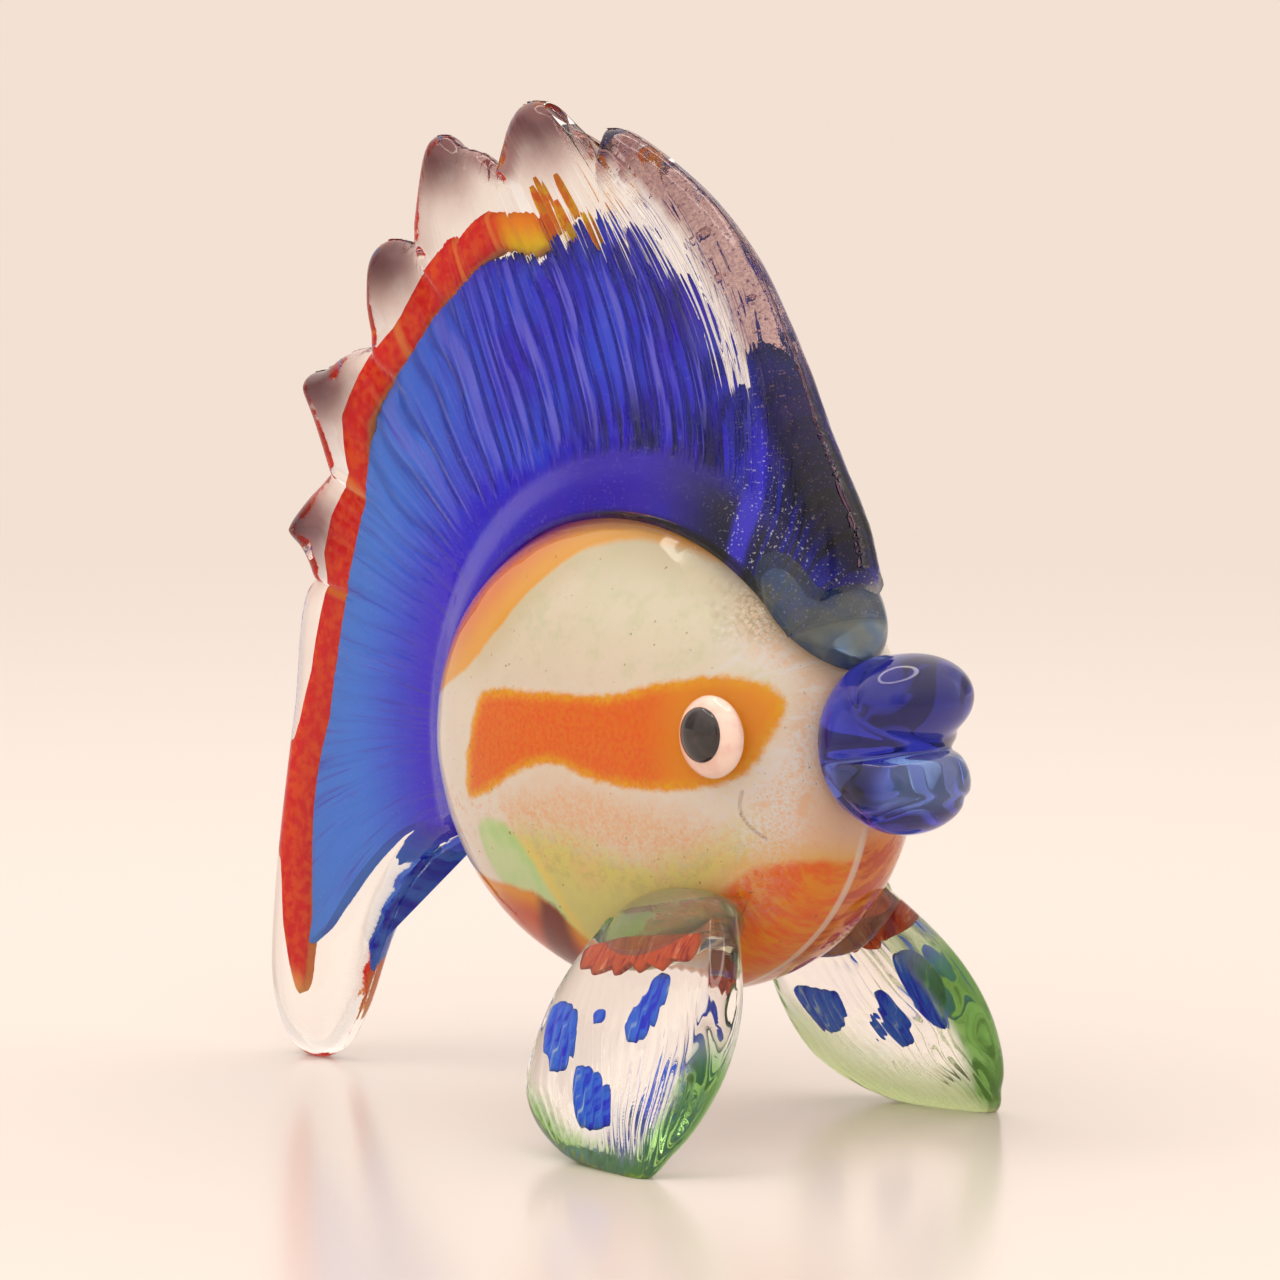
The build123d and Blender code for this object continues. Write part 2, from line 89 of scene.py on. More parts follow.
class Graph:
    """The shader nodes of a material or world, with short calls for the kinds that this scene uses."""

    def __init__(self, name, world=False):
        self.data = (bpy.data.worlds if world else bpy.data.materials).new(name)
        self.data.use_nodes = True
        self.tree = self.data.node_tree
        self.tree.nodes.clear()
        self.hue = None
        self.out = self.tree.nodes.new("ShaderNodeOutputWorld" if world else "ShaderNodeOutputMaterial")
        if not world:
            self.bsdf = self.tree.nodes.new("ShaderNodeBsdfPrincipled")
            self.put(self.out.inputs["Surface"], self.bsdf.outputs[0])

    def put(self, socket, value):
        if isinstance(value, bpy.types.NodeSocket):
            self.tree.links.new(value, socket)
        elif value is not None:
            socket.default_value = value

    def node(self, kind, *values, out=0, named=None, **props):
        """An output of a new node, whose sockets take values in order and the named ones by name."""
        n = self.tree.nodes.new(kind)
        for key, value in props.items():
            setattr(n, key, value)
        for socket, value in zip(n.inputs, values):
            self.put(socket, value)
        for key, value in (named or {}).items():
            self.put(n.inputs[key], value)
        return n.outputs[out]

    def set(self, **values):
        for key, value in values.items():
            self.put(self.bsdf.inputs[key.replace("_", " ")], value)
        return self.data

    def matte(self):
        """Coloured glass that lies under clear glass, which already has the shine."""
        return self.set(Base_Color=self.hue, Roughness=0.5, Specular_IOR_Level=0.0)

    def math(self, op, a, b=None, c=None):
        return self.node("ShaderNodeMath", a, b, c, operation=op)

    def times(self, total, *factors):
        for factor in factors:
            total = self.math("MULTIPLY", total, factor)
        return total

    def plus(self, a, b):
        return self.math("ADD", a, b)

    def scaled(self, value, factor, offset):
        return self.math("MULTIPLY_ADD", value, factor, offset)

    def mix(self, share, a, b):
        n = self.tree.nodes.new("ShaderNodeMix")
        n.data_type = "RGBA"
        for index, value in ((0, share), (6, a), (7, b)):
            self.put(n.inputs[index], value)
        return n.outputs[2]

    def lay(self, share, colour):
        """Lays a share of a colour over the hue built so far."""
        self.hue = self.mix(share, self.hue, colour)

    def attr(self, name):
        return self.node("ShaderNodeAttribute", out="Fac", attribute_name=name)

    def coords(self):
        return self.node("ShaderNodeTexCoord", out="Object")

    def stretched(self, x, y, z):
        """Object coordinates in millimetres, each divided by a length."""
        scale = (1 / (x * MM), 1 / (y * MM), 1 / (z * MM))
        return self.node("ShaderNodeMapping", self.coords(), named={"Scale": scale})

    def noise(self, size, detail=3.0, rough=0.55, vector=None):
        sockets = {"Vector": vector or self.stretched(size, size, size), "Scale": 1.0,
                   "Detail": detail, "Roughness": rough}
        return self.node("ShaderNodeTexNoise", named=sockets)

    def noise_vector(self, size, reach):
        """Noise as a vector about zero, with a reach."""
        sockets = {"Vector": self.stretched(size, size, size), "Scale": 1.0}
        noise = self.node("ShaderNodeTexNoise", out=1, named=sockets)
        centred = self.node("ShaderNodeVectorMath", noise, (0.5, 0.5, 0.5), operation="SUBTRACT")
        return self.node("ShaderNodeVectorMath", centred, (reach, reach, reach), operation="MULTIPLY")

    def ramp(self, value, low, high, to_low=0.0, to_high=1.0):
        return self.node("ShaderNodeMapRange", value, low, high, to_low, to_high,
                         interpolation_type="SMOOTHSTEP")

    def between(self, value, low, low_full, high_full, high):
        """1 from low_full to high_full, and 0 before low and past high."""
        return self.times(self.ramp(value, low, low_full), self.ramp(value, high, high_full))

    def inside(self, field, soft=0.3, wander=0.0, size=2.0, grow=0.0):
        """1 where a signed distance field is below grow, with an edge that wanders by noise."""
        shift = self.scaled(self.noise(size, 4.0, 0.7), 2 * wander, -wander)
        return self.ramp(self.plus(self.attr(field), shift), grow + soft, grow - soft)

    def bump(self, height, strength):
        sockets = {"Strength": strength, "Distance": BUMP_DEPTH, "Height": height}
        self.put(self.bsdf.inputs["Normal"], self.node("ShaderNodeBump", named=sockets))


# Mesh helpers
MERGE = 0.002 * MM


def link(name, data):
    obj = bpy.data.objects.new(name, data)
    bpy.context.scene.collection.objects.link(obj)
    return obj


def make_mesh(name, verts, faces, fields=None):
    """A smooth mesh from millimetres about the body's middle, with one float attribute per field."""
    mesh = bpy.data.meshes.new(name)
    mesh.from_pydata(to_row(verts).tolist(), [], faces)
    for key, values in (fields or {}).items():
        attribute = mesh.attributes.new(key, "FLOAT", "POINT")
        attribute.data.foreach_set("value", np.asarray(values, np.float32).ravel())
    bm = bmesh.new()
    bm.from_mesh(mesh)
    bmesh.ops.remove_doubles(bm, verts=bm.verts, dist=MERGE)
    bmesh.ops.recalc_face_normals(bm, faces=bm.faces)
    bm.to_mesh(mesh)
    bm.free()
    mesh.polygons.foreach_set("use_smooth", [True] * len(mesh.polygons))
    return link(name, mesh)


def finish_piece(obj, material, slot, *nodes):
    obj.data.materials.append(material)
    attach(obj, "root")
    if nodes:
        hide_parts(*nodes)


def grid_faces(nu, nv, wrap_u=False, wrap_v=False):
    rows = np.arange(nu if wrap_u else nu - 1)
    places = np.arange(nv if wrap_v else nv - 1)
    iu, iv = np.meshgrid(rows, places, indexing="ij")
    ju, jv = (iu + 1) % nu, (iv + 1) % nv
    corners = [iu * nv + iv, ju * nv + iv, ju * nv + jv, iu * nv + jv]
    return np.stack(corners, -1).reshape(-1, 4).tolist()


def cube_sphere(n):
    """Unit directions over a cube's six faces, and the quads that join them."""
    t = np.tan(np.linspace(-math.pi / 4, math.pi / 4, n))
    a, b = np.meshgrid(t, t, indexing="ij")
    one = np.ones_like(a)
    sides = [(a, b, one), (b, a, -one), (one, a, b), (-one, b, a), (b, one, a), (a, -one, b)]
    points = np.concatenate([np.stack(s, -1).reshape(-1, 3) for s in sides])
    faces = []
    for k in range(len(sides)):
        faces += (np.array(grid_faces(n, n)) + k * n * n).tolist()
    return points / np.linalg.norm(points, axis=1, keepdims=True), faces


def turn(points, axis, angle):
    return np.asarray(points) @ np.array(Matrix.Rotation(angle, 3, axis)).T


def polar(x, z):
    """Radius and angle of places seen from the side."""
    return np.hypot(x, z), np.degrees(np.arctan2(z, x)) % 360


def from_polar(radius, angle):
    a = np.radians(angle)
    return radius * np.cos(a), radius * np.sin(a)


def quarter_round(share):
    """Rises from 0 to 1 with share, as a quarter of a circle does."""
    return np.sqrt(np.clip(1 - (1 - np.clip(share, 0, 1)) ** 2, 0, 1))


def waves(points, size, seed, count=14):
    """Smooth seeded noise about zero, from waves of about one size."""
    r = np.random.RandomState(seed)
    total = np.zeros(len(points))
    for _ in range(count):
        direction = r.normal(size=points.shape[1])
        direction *= 2 * math.pi / size / np.linalg.norm(direction) * r.uniform(0.6, 1.5)
        total += np.sin(points @ direction + r.uniform(0, 2 * math.pi))
    return total / math.sqrt(count)


def outline_distance(points, outline, closed=True):
    """Distance from 2-D points to an outline, negative inside if it is closed."""
    outline = np.asarray(outline, float)
    starts = outline if closed else outline[:-1]
    ends = np.roll(outline, -1, axis=0) if closed else outline[1:]
    best = np.full(len(points), 1e9)
    inside = np.zeros(len(points), bool)
    for (x0, y0), (x1, y1) in zip(starts, ends):
        dx, dy = x1 - x0, y1 - y0
        px, py = points[:, 0] - x0, points[:, 1] - y0
        t = np.clip((px * dx + py * dy) / (dx * dx + dy * dy + 1e-12), 0, 1)
        best = np.minimum(best, np.hypot(px - t * dx, py - t * dy))
        if closed and dy:
            level = (y0 > points[:, 1]) != (y1 > points[:, 1])
            inside ^= level & (px < dx * py / dy)
    return np.where(inside, -best, best)


def rounded(points, per=8, closed=True):
    """A smooth curve through points, as a finer list of points."""
    p = np.asarray(points, float)
    n = len(p)
    padded = np.concatenate([p[-1:], p, p[:2]] if closed else [p[:1], p, p[-1:]])
    t = (np.arange(per) / per)[:, None]
    out = []
    for i in range(n if closed else n - 1):
        p0, p1, p2, p3 = padded[i:i + 4]
        square, cube = 2 * p0 - 5 * p1 + 4 * p2 - p3, 3 * p1 - p0 - 3 * p2 + p3
        out.append(0.5 * (2 * p1 + (p2 - p0) * t + square * t * t + cube * t ** 3))
    if not closed:
        out.append(p[-1:])
    return np.concatenate(out)


# Body: the clear casing and, just inside it, the coloured core
def pebble(directions, half):
    """Surface of the flattened pebble along unit directions, pitched nose down."""
    flat = (directions[:, 0] / half[0]) ** 2 + (directions[:, 2] / half[2]) ** 2
    level = flat ** (FULLNESS / 2) + np.abs(directions[:, 1] / half[1]) ** FULLNESS
    return turn(directions * level[:, None] ** (-1 / FULLNESS), "Y", PITCH)


def flank_y(x, z):
    """How far the flank stands out at a place seen from the side."""
    along = x * math.cos(PITCH) - z * math.sin(PITCH)
    up = x * math.sin(PITCH) + z * math.cos(PITCH)
    share = np.clip(np.hypot(along / HALF[0], up / HALF[2]), 0, 1)
    return float(HALF[1] * (1 - share ** FULLNESS) ** (1 / FULLNESS))


def rim_radius(angle, y=0.0):
    """Distance from the middle to the body's surface at an angle, in the plane y."""
    a = np.radians(angle) + PITCH
    edge = 1 / np.hypot(np.cos(a) / HALF[0], np.sin(a) / HALF[2])
    return edge * (1 - np.clip(np.abs(y) / HALF[1], 0, 1) ** FULLNESS) ** (1 / FULLNESS)


def outside_body(points, keep=0.02):
    """Points that fall inside the body's skin are brought out to it."""
    p = turn(points, "Y", -PITCH)
    flat = (p[:, 0] / HALF[0]) ** 2 + (p[:, 2] / HALF[2]) ** 2
    level = flat ** (FULLNESS / 2) + np.abs(p[:, 1] / HALF[1]) ** FULLNESS
    grow = np.where(level < 1, level ** (-1 / FULLNESS), 1.0)
    return turn(p * grow[:, None], "Y", PITCH) * (1 + keep / HALF[0])


SKIN_WAVES = [(0.0022, 17.0, 3), (0.0008, 6.0, 4)]
FROST_LINE = [(9.2, 17.2), (11.4, 13.8), (13.6, 10.6), (15.4, 7.4), (18.0, 2.2)]
PATCHES = {
    "stripe": [(-13.4, -3.8), (-12.2, 2.4), (-10.4, 4.5), (-4.0, 5.0), (3.0, 5.3), (8.0, 6.5), (12.6, 7.3),
               (15.9, 6.8), (17.5, 5.0), (16.8, 2.4), (15.4, 0.0), (12.2, -1.2), (7.2, -1.7), (2.0, -1.4),
               (-2.5, -0.5), (-6.4, -1.5), (-10.2, -3.4)],
    "peach": [(-7.5, -3.6), (-1.0, -2.2), (7.0, -3.0), (13.0, -4.4), (12.0, -7.2), (4.0, -6.8),
              (-3.0, -6.2), (-7.5, -5.4)],
    "olive": [(-8.4, -6.4), (-1.0, -6.4), (6.0, -7.4), (12.6, -5.6), (16.2, -2.9), (15.4, -8.0),
              (11.0, -12.4), (2.0, -15.8), (-4.5, -14.0), (-7.4, -10.5)],
    "leaf": [(-12.0, -6.2), (-9.2, -5.6), (-6.4, -7.4), (-3.4, -11.6), (-1.6, -15.2), (-4.0, -15.0),
             (-8.2, -12.4), (-11.2, -9.2)],
    "yellow": [(-8.6, -6.4), (-5.8, -7.2), (-3.2, -10.0), (-0.4, -14.6), (-1.4, -15.6), (-3.2, -12.6),
               (-5.4, -9.4)],
    "chin": [(8.6, -17.0), (8.8, -14.0), (10.6, -11.8), (13.0, -9.6), (15.8, -7.6), (18.6, -7.0),
             (20.8, -8.6), (19.0, -12.4), (15.4, -15.6), (12.6, -17.4)],
    "nose": [(13.0, 16.6), (12.0, 12.6), (14.6, 9.0), (17.6, 6.6), (17.6, 1.0), (16.0, -2.6), (16.4, -6.4),
             (24.0, -8.0), (26.0, 6.0), (20.0, 15.0)],
}
LINES = {
    "frost": [(9.2, 17.2), (11.4, 13.8), (13.6, 10.6), (15.0, 7.4), (17.6, 3.2), (17.2, -1.6),
              (16.2, -5.2), (14.2, -9.4)],
    "gill": [(15.3, -1.2), (15.1, -2.6), (15.6, -3.8), (16.6, -4.8)],
}
# How far the crest's and the keel's bands reach in from the rim, by angle
BACK_REACH = ([0, 45, 60, 84, 100, 118, 135, 150, 158, 164, 170, 177, 360],
              [-4, 0.3, 0.9, 1.3, 2.2, 4.2, 5.6, 5.6, 4.8, 3.4, 1.6, -1.5, -4])
KEEL_REACH = ([0, 180, 206, 216, 228, 240, 252, 266, 280, 292, 360],
              [-4, -4, -1, 2.2, 4.8, 6.4, 6.0, 3.8, 2.0, -2, -4])
RIM_DEPTH = 20.0
FAN_X, FAN_Z, FAN_RADIUS = 9.0, 2.6, 9.0
LEE_Y, LEE_HALF = 3.6, 3.4
directions, sphere_quads = cube_sphere(130)


def casing():
    skin = pebble(directions, HALF)
    skin *= 1 + sum(height * waves(skin, size, seed)[:, None] for height, size, seed in SKIN_WAVES)
    frost = outline_distance(skin[:, [0, 2]], rounded(FROST_LINE, closed=False), closed=False)
    g = Graph("clear_casing")
    g.set(Base_Color=srgb(255, 253, 250), Roughness=0.015, IOR=1.45, Transmission_Weight=1.0)
    rough = g.times(g.ramp(g.attr("frost"), 2.4, 0.6), g.noise(0.7, 4.0, 0.75))
    g.bump(g.scaled(g.noise(5.0, 2.0), 0.3, rough), 0.5)
    skin_mesh = make_mesh("body_clear_casing", skin, sphere_quads, {"frost": frost})
    finish_piece(skin_mesh, g.data, "clear_glass", "body_casing")


def core_fields(points, half):
    """Distances and places over the core that its colours follow."""
    x, z = points[:, 0], points[:, 2]
    side = np.stack([x, z], -1)
    fields = {name: outline_distance(side, rounded(patch)) for name, patch in PATCHES.items()}
    for name, line in LINES.items():
        fields[name] = outline_distance(side, rounded(line, closed=False), closed=False)
    angle = polar(x, z)[1]
    inset = (1 - np.hypot(x / half[0], z / half[2])) * RIM_DEPTH
    fields["back"] = inset - np.interp(angle, *BACK_REACH)
    fields["keel"] = inset - np.interp(angle, *KEEL_REACH)
    fields["fan"] = np.arctan2(z - FAN_Z, x - FAN_X) * FAN_RADIUS
    fields["lee"] = np.abs(points[:, 1] - LEE_Y) - LEE_HALF
    return fields | {"rise": z, "ahead": x, "turn": angle}


def pale_ground(g):
    g.hue = g.mix(g.ramp(g.rise, 3.0, 10.0), deep(240, 216, 190), deep(226, 210, 172))
    g.lay(g.ramp(g.rise, 11.0, 17.0), deep(198, 184, 148))
    g.lay(g.ramp(g.cloudy, 0.45, 0.7, 0.0, 0.6), deep(236, 210, 178))
    mottled = g.ramp(g.noise(2.4, 4.0, 0.7), 0.5, 0.66)
    g.lay(g.times(mottled, g.ramp(g.rise, 3.0, 9.0, 0.0, 0.6)), deep(196, 196, 148))
    g.lay(g.ramp(g.fine, 0.56, 0.7, 0.0, 0.3), deep(186, 172, 142))
    g.lay(g.ramp(g.rise, -1.0, -4.0), deep(240, 214, 192))
    g.lay(g.inside("nose", 1.0, 0.9, 3.0), deep(250, 166, 126))


def belly_tints(g):
    pinkish = g.mix(g.ramp(g.fine, 0.35, 0.65), deep(248, 158, 112), deep(248, 194, 158))
    g.lay(g.times(g.inside("peach", 1.6, 1.6, 1.6), 0.9), pinkish)
    mossy = g.mix(g.ramp(g.noise(2.2, 4.0, 0.7), 0.4, 0.6), deep(208, 188, 92), deep(222, 172, 98))
    mossy = g.mix(g.ramp(g.ahead, 9.0, 15.0, 0.0, 0.8), mossy, deep(216, 190, 96))
    mossy = g.mix(g.ramp(g.noise(1.1, 4.0, 0.75), 0.46, 0.62, 0.0, 0.6), mossy, deep(170, 164, 84))
    g.lay(g.times(g.inside("olive", 1.5, 1.4, 2.2), 0.95), mossy)
    lower = g.times(g.ramp(g.rise, -8.5, -11.0), g.inside("olive", 1.0, 0.8, 2.0))
    g.lay(g.times(lower, 0.8), deep(206, 196, 104))
    fleck = g.ramp(g.noise(0.6, 4.0, 0.75), 0.5, 0.66, 0.0, 0.55)
    g.lay(g.times(fleck, g.between(g.rise, -9.5, -6.5, -4.6, -2.6)), deep(240, 140, 96))
    g.lay(g.inside("yellow", 0.6, 0.5, 1.6), deep(246, 196, 92))
    greens = g.mix(g.ramp(g.cloudy, 0.4, 0.6), deep(150, 206, 110), deep(184, 218, 136))
    g.lay(g.inside("leaf", 0.5, 0.4, 2.0), greens)


def orange_patches(g):
    chin = g.mix(g.ramp(g.radial, 0.38, 0.64), deep(246, 82, 4), deep(255, 110, 12))
    g.lay(g.inside("chin", 1.4, 0.8, 1.2, grow=1.5), deep(246, 150, 84))
    g.lay(g.inside("chin", 0.4, 0.45, 1.6, grow=0.5), chin)
    grain = g.mix(g.ramp(g.fine, 0.36, 0.64), deep(248, 114, 6), deep(255, 144, 20))
    g.lay(g.inside("stripe", 0.3, 0.5, 0.9), grain)
    redder = g.mix(g.ramp(g.fine, 0.3, 0.7), deep(255, 76, 12), deep(255, 98, 26))
    heart = g.mix(g.ramp(g.ahead, 6.5, 11.0), redder, deep(255, 112, 8))
    g.lay(g.inside("stripe", 0.6, 0.4, 1.5, grow=-0.6), heart)


def rim_bands(g):
    """The bands along the back and the keel, and the red-brown rim on the far side of the chin with a
    painted highlight line along it.
    """
    shade = g.times(g.ramp(g.attr("back"), 3.2, 0.2), g.ramp(g.rise, 2.0, 8.0, 0.0, 0.55))
    g.lay(shade, deep(188, 164, 120))
    back = g.mix(g.ramp(g.attr("back"), -4.5, -0.6), deep(222, 88, 38), deep(255, 134, 62))
    g.lay(g.inside("back", 0.3, 0.3, 4.0), back)
    keel = g.mix(g.ramp(g.attr("keel"), -2.6, -0.4), deep(186, 70, 30), deep(232, 116, 52))
    g.lay(g.inside("keel", 0.4, 0.4, 3.0), keel)
    chin_turn = g.between(g.attr("turn"), 276, 288, 342, 352)
    brown = g.mix(g.ramp(g.radial, 0.4, 0.6), deep(168, 66, 30), deep(206, 96, 52))
    g.lay(g.times(chin_turn, g.inside("lee", 0.25, 0.3, 3.0)), brown)
    # A painted highlight: a pale line along the chin's rim, where the clear casing's shine would be.
    rim_highlight = g.ramp(g.math("ABSOLUTE", g.plus(g.attr("lee"), -0.1)), 0.5, 0.2, 0.0, 0.7)
    g.lay(g.times(rim_highlight, chin_turn), deep(250, 206, 178))
    dusky = g.between(g.attr("turn"), 240, 247, 254, 262)
    g.lay(g.times(dusky, g.inside("keel", 0.4, 0.6, 1.0)), deep(96, 54, 34))


def frost_and_highlight_tints(g):
    """Sugary white frost, partly a painted highlight, and fine cracks along the line from the forehead down
    behind the nose.
    """
    stripe = g.attr("stripe")
    along = g.times(g.ramp(g.attr("frost"), 2.9, 0.5), g.ramp(stripe, 0.2, 1.2),
                    g.ramp(g.rise, -7.0, -3.5, 0.15, 1.0))
    spread = g.stretched(0.5, 0.5, 0.5)
    wobbly = g.node("ShaderNodeVectorMath", spread, g.noise_vector(0.7, 1.8), operation="ADD")
    cells = g.node("ShaderNodeTexVoronoi", named={"Vector": wobbly, "Scale": 1.0},
                   feature="DISTANCE_TO_EDGE")
    patchy = g.ramp(g.noise(1.8, 3.0), 0.3, 0.46)
    cracks = g.times(along, g.ramp(cells, 0.12, 0.02), patchy)
    # Sugary white patches: the frost's own white, and a painted highlight where the ring lamp's shine would
    # break up on the frost.
    sugar_and_highlight = g.times(along, patchy, g.ramp(g.noise(0.5, 4.0, 0.8), 0.42, 0.6, 0.2, 1.0))
    g.lay(g.times(sugar_and_highlight, g.ramp(g.rise, 13.0, 9.0, 0.25, 0.9)), deep(255, 244, 236))
    above = g.ramp(g.rise, 8.0, 11.0)
    g.lay(g.times(cracks, above, 0.9), deep(156, 134, 96))
    g.lay(g.times(cracks, g.scaled(above, -0.8, 0.8)), deep(255, 246, 238))
    fan = g.node("ShaderNodeCombineXYZ", g.attr("fan"), g.times(stripe, 0.35))
    feathers = g.ramp(g.noise(1.0, 3.0, 0.7, vector=fan), 0.52, 0.62)
    beside = g.times(g.ramp(stripe, -0.4, 0.3), g.ramp(stripe, 3.2, 0.8))
    ahead = g.ramp(g.ahead, 9.0, 13.0, 0.0, 0.75)
    g.lay(g.times(feathers, beside, ahead), deep(255, 246, 236))


def coloured_core():
    half = HALF - CASING
    points = pebble(directions, half)
    g = Graph("coloured_core")
    g.fine, g.cloudy = g.noise(0.35, 4.0, 0.75), g.noise(6.0, 3.0)
    g.radial = g.noise(1.0, 3.0, 0.65, vector=g.stretched(0.5, 3.0, 2.2))
    g.rise, g.ahead = g.attr("rise"), g.attr("ahead")
    for layer in (pale_ground, belly_tints, orange_patches, rim_bands, frost_and_highlight_tints):
        layer(g)
    g.lay(g.ramp(g.attr("gill"), 0.2, 0.06, 0.0, 0.5), deep(130, 96, 74))
    g.lay(g.times(g.ramp(g.noise(0.5, 1.0), 0.74, 0.79), 0.5), deep(90, 66, 52))
    core = make_mesh("body_coloured_core", points, sphere_quads, core_fields(points, half))
    paired = [f"{node}_{side}" for node in ("flank_stripe", "belly_patch", "chin_patch")
              for side in ("right", "left")]
    finish_piece(core, g.matte(), "pale_green_glass", "body_core", "body_ground", "back_band", "keel_band",
                 *paired)


casing()
coloured_core()

# Crest and tail: one pressed web. Each lobe's outline starts at its notch, and the last one is the tail
LOBES = [
    [(18.6, 12.2), (20.9, 13.6), (20.4, 15.6), (19.5, 19.0), (17.5, 22.9), (15.5, 26.7), (13.6, 30.9),
     (11.2, 35.1), (8.3, 39.4), (4.3, 43.3), (-0.5, 46.4), (-4.6, 48.4), (-6.6, 48.7)],
    [(-7.4, 46.9), (-9.2, 48.0), (-11.3, 48.7), (-12.9, 50.1), (-14.6, 50.7), (-16.3, 50.3), (-17.6, 48.7),
     (-18.5, 46.1)],
    [(-18.9, 45.1), (-21.0, 46.3), (-23.6, 46.8), (-25.3, 47.7), (-26.6, 47.4), (-27.5, 45.7),
     (-28.1, 43.2), (-28.4, 40.6)],
    [(-28.3, 38.7), (-30.0, 39.0), (-31.8, 39.1), (-33.2, 38.3), (-34.0, 36.6), (-34.1, 33.8),
     (-33.4, 31.3)],
    [(-33.4, 30.2), (-35.4, 30.0), (-37.4, 29.3), (-39.3, 28.2), (-41.2, 27.7), (-41.8, 26.4),
     (-40.8, 24.4), (-39.2, 21.4)],
    [(-38.5, 19.9), (-39.7, 18.8), (-41.4, 17.4), (-43.2, 15.3), (-43.2, 14.1), (-41.6, 12.8),
     (-40.6, 11.3)],
    [(-40.5, 10.9), (-41.6, 9.7), (-42.4, 6.7), (-43.0, 1.0), (-43.8, -3.3), (-44.6, -7.5), (-45.5, -12.7),
     (-46.2, -17.9), (-46.5, -22.2), (-46.0, -25.4), (-44.6, -28.2), (-42.6, -29.5), (-40.4, -29.6),
     (-38.4, -28.7), (-36.7, -26.6), (-35.3, -23.9), (-34.3, -21.4), (-33.2, -18.9), (-31.5, -16.0),
     (-29.6, -13.5), (-27.6, -11.5), (-25.2, -9.9), (-22.5, -8.8), (-18.5, -7.4)],
]
NOTCHES = [polar(*lobe[0]) for lobe in LOBES[1:]]
TIPS = [(-14.4, 49.4), (-25.8, 46.6), (-32.3, 37.6), (-40.2, 26.9), (-42.2, 14.8)]
# The tail's lower edge, from the body out
UNDERSIDE_POINTS = 12
FIRST_RIB, LAST_RIB = 33.5, 216.0
OUTERMOST = 56.0
under_radius, under_angle = polar(*np.array(LOBES[-1][:-UNDERSIDE_POINTS - 1:-1]).T)
UNDERSIDE = ([*under_radius, OUTERMOST], [*under_angle, 216.2])
# How far a rib leans back over the first LEAN_LENGTH of its way, by the angle where it starts
LEAN = ([33, 45, 66, 84, 108, 118, 130, 140, 150], [22, 28, 26, 14, 4, 0, -6, -3, 0])
LEAN_START, LEAN_LENGTH = 22, 20
# Half the web's thickness by radius
WEB_HALF = ([0, 19.3, 21.5, 24.3, 28, 32.5, 42, 50.7, 60], [5.2, 5.2, 4.7, 3.25, 2.75, 2.4, 1.85, 1.5, 1.4])
RIM_START, CLEAR_START = 19.5, 21.5

crest_line = np.concatenate([rounded(lobe, 6, closed=False) for lobe in LOBES])
line_radius, line_angle = polar(*crest_line.T)
# The outer edge as radius by angle ends near the tail's tip, past which the outline turns back
outer_count = int(np.argmax(line_angle * (line_radius > 49))) + 1
outer_radius = line_radius[:outer_count]
outer_angle = np.maximum.accumulate(line_angle[:outer_count]) + np.arange(outer_count) * 1e-6


def bent(start, r):
    """Angle at radius r of the rib that starts at an angle: it leans, or follows the tail's lower edge."""
    leaning = start + np.interp(start, *LEAN) * (r - LEAN_START) / LEAN_LENGTH
    under = 180 + (start - 180) * (np.interp(r, *UNDERSIDE) - 180) / (LAST_RIB - 180)
    return np.where(start > 180, under, leaning)


def seat_angle(columns):
    """The angle where each rib meets the body."""
    seat = columns
    for _ in range(4):
        seat = bent(columns, rim_radius(seat))
    return seat


def web_half(r):
    return np.interp(r, *WEB_HALF)


def column_end(start):
    """Radius where a rib first leaves the crest's outline."""
    r = np.linspace(RIM_START, OUTERMOST, 600)
    out = r > np.interp(bent(start, r), outer_angle, outer_radius)
    out[r < CLEAR_START] = False
    return r[np.argmax(out)] if out.any() else 52.0


def seam_steps(x, z):
    """The rounded back edge of each lobe, which lies over the next one."""
    r, a = polar(x, z)
    total = np.zeros_like(x)
    for k, (notch_r, notch_a) in enumerate(NOTCHES):
        inward = np.clip(notch_r + 1 - r, 0, 30)
        reach = 13.0 if k < 2 else 8.0
        fade = np.clip(1 - inward / reach, 0, 1) ** 0.7
        seam = notch_a - 2.4 * (inward / 10) ** 2
        d = np.radians(seam - a) * r
        past = np.clip(d, 0, None)
        ahead = 0.55 * quarter_round(d / 0.9) * np.exp(-past / 4.5) - 0.25 * np.exp(-past / 0.4)
        behind = -0.25 * np.exp(np.clip(d, -20, 0) / 1.6)
        total += fade * np.where(d > 0, ahead, behind)
    return total


def rib_wave(start, x, z):
    """0 in a groove and 1 on a rib: pressed lines about 2 mm apart, one in three of them bolder."""
    wobble = 0.22 * waves(np.stack([x.ravel(), z.ravel()], -1), 11.0, 11).reshape(x.shape)
    phase = start / 3.7 + wobble
    bold = 0.75 + 0.25 * np.cos(2 * np.pi * (np.floor(phase) * 0.37))
    return np.abs(np.sin(np.pi * phase)) ** 0.9 * bold


def rib_strength(start, r):
    from_r = 23.6 + 0.9 * np.sin(start * 1.7) + np.interp(start, [60, 125, 150], [0, 2.0, 4.0])
    along = np.clip((r - from_r) / 1.3, 0, 1)
    by_angle = np.interp(start, [34, 50, 64, 100, 125, 143, 155, 185],
                         [0.1, 0.3, 1.0, 1.0, 0.9, 0.55, 0.14, 0.06])
    return along * (2 - along) * by_angle * np.interp(r, [24, 36, 41, 44, 47], [1.0, 1.0, 0.6, 0.22, 0.1])


def relief(start, r, x, z):
    """Ribs, lobe seams and thicker lobe tips, in millimetres on each face."""
    fine = 0.18 * np.sin(2 * np.pi * start / 1.45 + 1.0)
    return 0.36 * rib_strength(start, r) * (rib_wave(start, x, z) + fine - 0.6) + seam_steps(x, z)


